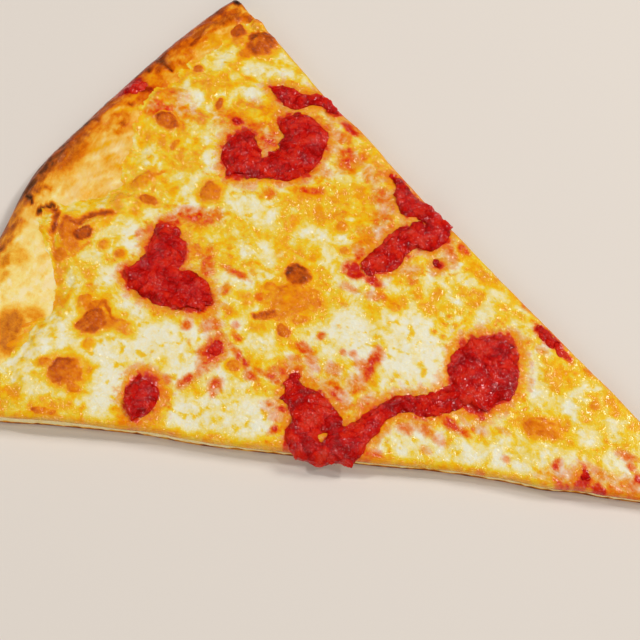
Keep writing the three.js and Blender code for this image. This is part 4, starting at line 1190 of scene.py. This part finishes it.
def lump_surfaces(run, tall, rng, share):
    """Bits of crushed tomato: small squashed balls scattered over a run, `share` to each mm2."""
    path, width = run_path(run, 60)
    length = np.hypot(*np.diff(path, axis=0).T).sum()
    count = max(int(length * 2 * width.mean() * share), 3)
    at = rng.integers(2, 58, count)
    ahead = np.gradient(path, axis=0)[at]
    ahead /= np.hypot(*ahead.T)[:, None]
    aside = rng.uniform(-1.02, 1.02, count)
    wide = width[at]
    centre_x = path[at, 0] - ahead[:, 1] * aside * wide
    centre_y = path[at, 1] + ahead[:, 0] * aside * wide
    narrow = np.minimum(1, wide / SAUCE_FULL_WIDTH)
    surface = tall * np.sqrt(np.clip(1 - aside * aside, 0, 1)) ** 1.8 * narrow
    long = rng.uniform(1.2, 3.0, count) * (0.55 + 0.45 * narrow)
    thin = long * rng.uniform(0.5, 0.9, count)
    high = rng.uniform(0.25, 0.55, count) * (0.55 + 0.45 * narrow)
    turn = rng.uniform(0, math.pi, count)
    rows, sides = 7, 10
    polar = np.linspace(0.08, math.pi - 0.08, rows)
    around = np.linspace(0, 2 * math.pi, sides, endpoint=False)
    unit_x = (np.sin(polar)[:, None] * np.cos(around)).ravel()
    unit_y = (np.sin(polar)[:, None] * np.sin(around)).ravel()
    unit_z = np.repeat(np.cos(polar), sides)
    along = long[:, None] * unit_x
    over = thin[:, None] * unit_y
    x = centre_x[:, None] + along * np.cos(turn)[:, None] - over * np.sin(turn)[:, None]
    y = centre_y[:, None] + along * np.sin(turn)[:, None] + over * np.cos(turn)[:, None]
    z = surface[:, None] * 0.92 + high[:, None] * unit_z
    ball = grid_quads(rows, sides, loop=True)
    ends = [list(range(sides)), list(range((rows - 1) * sides, rows * sides))]
    faces = []
    for number in range(count):
        start = number * rows * sides
        faces += (ball + start).tolist()
        faces += [[corner + start for corner in end] for end in ends]
    return np.stack([x, y, z], -1).reshape(-1, 3), faces


def pile(runs, tall, lip, share, rng):
    """Points and faces of all the runs and lumps of one dollop, on a flat bed."""
    points, faces = [], []
    total = 0
    for run in runs:
        for made in (run_surface(run, tall, lip), lump_surfaces(run, tall, rng, share)):
            points.append(made[0])
            faces += [[corner + total for corner in face] for face in made[1]]
            total += len(made[0])
    return np.concatenate(points), faces


def melted_object(name, points, faces, voxel):
    """An object whose overlapping closed pieces are melted into one skin and smoothed."""
    rough = bpy.data.meshes.new(name)
    rough.from_pydata((points * MM).tolist(), [], faces)
    obj = bpy.data.objects.new(name, rough)
    bpy.context.scene.collection.objects.link(obj)
    remesh = obj.modifiers.new("Melt", "REMESH")
    remesh.mode = "VOXEL"
    remesh.voxel_size = voxel * MM
    smooth = obj.modifiers.new("Wet", "SMOOTH")
    smooth.factor = 0.5
    smooth.iterations = 3
    bpy.context.view_layer.update()
    ready = obj.evaluated_get(bpy.context.evaluated_depsgraph_get())
    melted = bpy.data.meshes.new_from_object(ready)
    obj.modifiers.clear()
    obj.data = melted
    bpy.data.meshes.remove(rough)
    melted.name = name
    return obj


def sauce_object(name, runs, past, tall, lip, seed, bed, voxel=SAUCE_VOXEL, share=SAUCE_PULP):
    """Runs and lumps made ragged by noise, pressed back where they pass the cut by more than
    `past`, laid on the bed and melted together. Each point then moves along its normal, out on the
    bits of tomato, which are cells of scattered points, and in along the grooves between them. The
    colour field on the points mixes random tone with painted light: painted shade in the grooves
    and a painted sheen on the raised bits."""
    points, faces = pile(runs, tall, lip, share, np.random.default_rng(seed))
    x, y, z = points.T
    ragged = 0.8 * rough_noise(x, y, 5, seed + 1, 4, 0.7)
    y = y + 0.8 * rough_noise(x, y, 5, seed + 5, 4, 0.7)
    x = x + ragged
    if past is not None:
        over = past_cut(x, y) - past * (1 + 0.5 * noise(x, y, 5, seed + 3))
        radius, angle = pie_terms(x, y)
        back = np.maximum(over, 0) * 0.93 / np.maximum(radius, 1)
        x, y = place(radius, angle - np.sign(angle) * back)
    obj = melted_object(name, np.stack([x, y, z + bed(x, y)], -1), faces, voxel)
    melted = obj.data
    points, normals = np.empty((2, len(melted.vertices) * 3), np.float32)
    melted.vertices.foreach_get("co", points)
    melted.vertex_normals.foreach_get("vector", normals)
    points = points.reshape(-1, 3).astype(float) / MM
    normals = normals.reshape(-1, 3)
    x, y, _ = points.T
    bent = x + 1.3 * rough_noise(x, y, 4, seed + 7, 3)
    nearest, second = cells(bent, y + 1.1 * noise(x, y, 3, seed + 9), 3.4, seed + 8)
    push = 0.2 * smoothstep(second - nearest, 0, 0.4) - 0.14
    push = push + 0.18 * rough_noise(x, y, 3.2, seed + 10, 4)
    points = points + normals * push[:, None]
    points[:, 2] = np.maximum(points[:, 2], LOWEST_SAUCE)
    melted.vertices.foreach_set("co", (points * MM).ravel())
    # painted light: the colour field is darkened along the grooves as painted shade, and lightened
    # where the skin is pushed out as a painted sheen, on top of random tone
    painted_groove_shade = 1 - smoothstep(second - nearest, 0, 0.16)
    pulp_tone_and_painted_light = 0.5 + 0.4 * rough_noise(x, y, 6, seed + 11, 3) + 0.5 * push - 0.24 * painted_groove_shade
    attribute = melted.attributes.new("pulp_tone_and_painted_light", "FLOAT", "POINT")
    attribute.data.foreach_set("value", np.clip(pulp_tone_and_painted_light, 0, 1).astype(np.float32))
    melted.update()
    melted.shade_smooth()
    return obj


def sauce_material():
    """Crushed tomatoes, cooked thick: wet red sauce, darker in its folds as painted shade, and lighter
    where flesh lies near the top, partly bits of flesh and partly a painted sheen, with clear juice
    over it that lies in patches and glints."""
    settings = bpy.context.scene.pizza_sauce
    material, tree = new_material("Crushed Tomato Sauce")
    where = node(tree, "ShaderNodeTexCoord").outputs["Object"]
    # flesh about 1.4 mm wide, with grain of about 0.45 mm
    flesh = texture(tree, where, 0.0014, 4.0, distortion=0.6)
    grain = texture(tree, where, 0.00045, 2.0)
    mixed = calc(tree, "MULTIPLY_ADD", flesh, 0.5, -0.25)
    # painted light: the dark end of this ramp is painted shade in the folds and grooves, and the lit
    # red and flesh end is partly a painted sheen on the raised bits and partly bits of flesh
    colour = colour_ramp(tree, calc(tree, "ADD", field(tree, "pulp_tone_and_painted_light"), mixed), (
        (0.1, settings.dark_colour), (0.42, settings.deep_colour), (0.7, settings.lit_red_colour),
        (0.95, settings.flesh_and_painted_sheen_colour),
    ))
    # clear juice, with smooth ripples as wide as the flesh, in patches about 2.4 mm wide
    ripple = texture(tree, where, 0.0014, 1.0, 0.4, 0.8)
    pooled = texture(tree, where, 0.0024, 2.0, 0.5)
    principled(tree, {
        "Base Color": colour, "Roughness": remap(tree, flesh, 0.3, 0.7, 0.2, 0.4),
        "Normal": bump(tree, grain, 0.6, 0.0002, bump(tree, flesh, 1.0, 0.0011)),
        "IOR": 1.4, "Specular IOR Level": 0.02, "Specular Tint": (1.0, 0.55, 0.5, 1.0),
        "Subsurface Weight": 0.08, "Subsurface Radius": (1.0, 0.25, 0.12),
        "Subsurface Scale": 0.0012, "Coat Weight": remap(tree, pooled, 0.44, 0.56, 0.15, 0.85),
        "Coat Roughness": 0.15, "Coat Normal": bump(tree, ripple, 1.0, 0.0012),
    })
    return material


# ---------------------------------------------------------------- settings


def colour_setting(name, description, hex_colour):
    return FloatVectorProperty(
        name=name, description=description, subtype="COLOR", size=4, min=0, max=1,
        default=linear(hex_colour),
    )


class CrustSettings(bpy.types.PropertyGroup):
    """Colours of the baked dough, from raw to burnt, and of what soaks into it or lies on it."""

    raw_colour: colour_setting("Raw", "Crumb inside the cut", "#F5E4B0")
    pale_colour: colour_setting("Pale", "Dough hardly browned", "#F5DC84")
    golden_colour: colour_setting("Golden", "Lightly baked skin", "#F2BC42")
    amber_colour: colour_setting("Amber", "Well baked skin", "#E68E10")
    brown_colour: colour_setting("Brown", "Browned skin", "#B85C12")
    dark_colour: colour_setting("Dark", "Deeply browned skin", "#783A0C")
    char_colour: colour_setting("Char", "Burnt spots", "#2A120B")
    oiled_colour: colour_setting("Oiled", "What oil leaves of the colour under it", "#F7C22C")
    stained_colour: colour_setting("Stained", "What sauce leaves of the colour under it", "#E8521A")
    sauced_colour: colour_setting("Sauced", "Sauce baked onto the rim", "#A80C06")
    flour_colour: colour_setting("Flour", "Flour under the slice", "#E9DFCB")


class CheeseSettings(bpy.types.PropertyGroup):
    """Colours of the melted cheese, from milky to oily, and how sauce stains it."""

    milk_colour: colour_setting("Milk", "Milky pools", "#EEE8CE")
    cream_colour: colour_setting("Cream", "Plain melted cheese", "#EFDA8C")
    straw_colour: colour_setting("Straw", "Slightly oily cheese", "#EEC828")
    butter_colour: colour_setting("Butter", "Oily cheese", "#F2B000")
    oil_colour: colour_setting("Oil", "Pools of butterfat", "#EE9600")
    stain_colour: colour_setting("Stain", "What sauce leaves of the colour under it", "#F25A12")


class SauceSettings(bpy.types.PropertyGroup):
    """Colours and height of the sauce."""

    # painted light: Dark is painted shade in the folds, and Red and Flesh are lighter colours that
    # partly paint a sheen on the raised bits
    dark_colour: colour_setting("Dark", "Folds of the sauce", "#A20200")
    deep_colour: colour_setting("Deep", "Most of the sauce", "#C80A04")
    lit_red_colour: colour_setting("Red", "Sauce near the light", "#DE240C")
    flesh_and_painted_sheen_colour: colour_setting("Flesh", "Bits of tomato", "#E03A26")
    height: FloatProperty(
        name="Height", description="Height of a dollop over the cheese", subtype="DISTANCE",
        unit="LENGTH", default=1.9 * MM, min=0.5 * MM, max=4 * MM,
    )


class StageSettings(bpy.types.PropertyGroup):
    """The table, the light and the camera."""

    table_colour: colour_setting("Table", "Plain pale table", "#E2D8CD")
    table_size: FloatProperty(
        name="Table size", description="Width of the table", subtype="DISTANCE", unit="LENGTH",
        default=3.0, min=0.5,
    )
    azimuth: FloatProperty(
        name="Azimuth", description="The camera's way round the slice", subtype="ANGLE",
        default=math.radians(30.23),
    )
    elevation: FloatProperty(
        name="Elevation", description="The camera's height over the table, as an angle",
        subtype="ANGLE", default=math.radians(64.5),
    )
    distance: FloatProperty(
        name="Distance", description="From the camera to the slice", subtype="DISTANCE",
        unit="LENGTH", default=293.64 * MM, min=0.1,
    )
    field_of_view: FloatProperty(
        name="Field of view", description="The camera's whole angle", subtype="ANGLE",
        default=math.radians(36.0),
    )
    light: FloatProperty(name="Light", description="Strength of the sky", default=0.24, min=0)


# ---------------------------------------------------------------- operators


class PIZZA_OT_bake_crust(bpy.types.Operator):
    """Makes the baked dough: base, rim and cut sides"""

    bl_idname = "pizza.bake_crust"
    bl_label = "Bake Crust"

    def execute(self, context):
        grids = crust_surfaces()
        points, faces, parts = [], [], []
        total = 0
        # top, underside, and two walls that are alike
        for number, grid in enumerate(grids):
            rows, columns, _ = grid.shape
            points.append(grid.reshape(-1, 3))
            faces += grid_quads(rows, columns, total).tolist()
            parts.append(np.full(rows * columns, min(number, 2)))
            total += rows * columns
        points = np.concatenate(points)
        fields = crust_fields(points, np.concatenate(parts))
        crust = mesh_object("baked_crust", points, faces, fields)
        finish_piece(crust, dough_material(), "baked_dough", "crust")
        return {"FINISHED"}


class PIZZA_OT_melt_cheese(bpy.types.Operator):
    """Makes the layer of melted cheese, with its blisters and stains"""

    bl_idname = "pizza.melt_cheese"
    bl_label = "Melt Cheese"

    def execute(self, context):
        points, faces = cheese_surfaces()
        cheese = mesh_object("melted_cheese", points, faces, cheese_fields(points))
        finish_piece(cheese, cheese_material(), "melted_cheese", "cheese")
        return {"FINISHED"}


class PIZZA_OT_spoon_sauce(bpy.types.Operator):
    """Makes the dollops of tomato sauce and the small splashes"""

    bl_idname = "pizza.spoon_sauce"
    bl_label = "Spoon Sauce"

    def execute(self, context):
        tall = context.scene.pizza_sauce.height / MM
        material = sauce_material()
        for number, (name, (past, runs)) in enumerate(DOLLOPS.items()):
            dollop = sauce_object(
                name.replace("sauce", "tomato"), runs, past, tall, SAUCE_LIP,
                SAUCE_SEED + 20 * number, dollop_bed,
            )
            finish_piece(dollop, material, "tomato_sauce", name)
        splashes = sauce_object(
            "tomato_splashes", SPLASHES, None, SPLASH_HEIGHT, SPLASH_LIP, SPLASH_SEED, splash_bed,
            SPLASH_VOXEL, SPLASH_PULP,
        )
        finish_piece(splashes, material, "tomato_sauce")
        return {"FINISHED"}


def from_angles(around, up, distance):
    """The point at a distance from the middle of the table, `around` it from its front edge and
    `up` over it, in radians."""
    return distance * Vector((
        math.sin(around) * math.cos(up), -math.cos(around) * math.cos(up), math.sin(up),
    ))


def stand(name, data, location, target):
    """Puts a light or a camera at a place, turned to a target."""
    obj = bpy.data.objects.new(name, data)
    obj.location = location
    obj.rotation_euler = (target - location).to_track_quat("-Z", "Y").to_euler()
    bpy.context.scene.collection.objects.link(obj)
    return obj


class PIZZA_OT_set_table(bpy.types.Operator):
    """Makes the table, the lights and the camera"""

    bl_idname = "pizza.set_table"
    bl_label = "Set Table"

    def execute(self, context):
        scene = context.scene
        settings = scene.pizza_stage
        half = settings.table_size / 2
        mesh = bpy.data.meshes.new("table")
        corners = [(-half, -half, 0), (half, -half, 0), (half, half, 0), (-half, half, 0)]
        mesh.from_pydata(corners, [], [(0, 1, 2, 3)])
        table = bpy.data.objects.new("table", mesh)
        scene.collection.objects.link(table)
        # uncoated paper: matt, with hardly any shine
        material, tree = new_material("Pale Paper")
        principled(tree, {
            "Base Color": settings.table_colour, "Roughness": 0.7, "Specular IOR Level": 0.3,
        })
        mesh.materials.append(material)

        world = bpy.data.worlds.new("Sky")
        world.use_nodes = True
        world.node_tree.nodes.clear()
        sky = node(world.node_tree, "ShaderNodeBackground", {
            "Color": linear(SKY_COLOUR), "Strength": settings.light,
        })
        node(world.node_tree, "ShaderNodeOutputWorld", {"Surface": sky.outputs["Background"]})
        scene.world = world

        for name, around, up, distance, width, watts in LIGHTS:
            lamp = bpy.data.lights.new(name, "AREA")
            lamp.shape = "DISK"
            lamp.size = width
            lamp.energy = watts
            away = from_angles(math.radians(around), math.radians(up), distance)
            stand(name, lamp, away, Vector())

        eye = bpy.data.cameras.new("Camera")
        eye.sensor_width = SENSOR_WIDTH
        eye.lens = SENSOR_WIDTH / 2 / math.tan(settings.field_of_view / 2)
        eye.clip_start = 0.01
        target = Vector(CAMERA_TARGET) * MM
        away = from_angles(settings.azimuth, settings.elevation, settings.distance)
        scene.camera = stand("Camera", eye, target + away, target)
        scene.view_settings.view_transform = "Standard"
        scene.view_settings.look = "None"
        return {"FINISHED"}


class PIZZA_PT_slice(bpy.types.Panel):
    """Lists what can be made and changed"""

    bl_label = "Pizza Slice"
    bl_idname = "PIZZA_PT_slice"
    bl_space_type = "VIEW_3D"
    bl_region_type = "UI"
    bl_category = "Pizza"

    def draw(self, context):
        for operator, key in STEPS:
            box = self.layout.box()
            settings = getattr(context.scene, key)
            for name in settings.bl_rna.properties.keys():
                if name not in ("name", "rna_type"):
                    box.prop(settings, name)
            box.operator(operator.bl_idname)


STEPS = (
    (PIZZA_OT_set_table, "pizza_stage"),
    (PIZZA_OT_bake_crust, "pizza_crust"),
    (PIZZA_OT_melt_cheese, "pizza_cheese"),
    (PIZZA_OT_spoon_sauce, "pizza_sauce"),
)
SETTINGS = {
    "pizza_stage": StageSettings,
    "pizza_crust": CrustSettings,
    "pizza_cheese": CheeseSettings,
    "pizza_sauce": SauceSettings,
}


def register():
    for key, settings in SETTINGS.items():
        bpy.utils.register_class(settings)
        setattr(bpy.types.Scene, key, PointerProperty(type=settings))
    for operator, _ in STEPS:
        bpy.utils.register_class(operator)
    bpy.utils.register_class(PIZZA_PT_slice)


def unregister():
    bpy.utils.unregister_class(PIZZA_PT_slice)
    for operator, _ in STEPS:
        bpy.utils.unregister_class(operator)
    for key, settings in SETTINGS.items():
        delattr(bpy.types.Scene, key)
        bpy.utils.unregister_class(settings)


def main():
    register()
    bpy.ops.pizza.set_table()
    bpy.ops.pizza.bake_crust()
    bpy.ops.pizza.melt_cheese()
    bpy.ops.pizza.spoon_sauce()


if __name__ == "__main__":
    main()
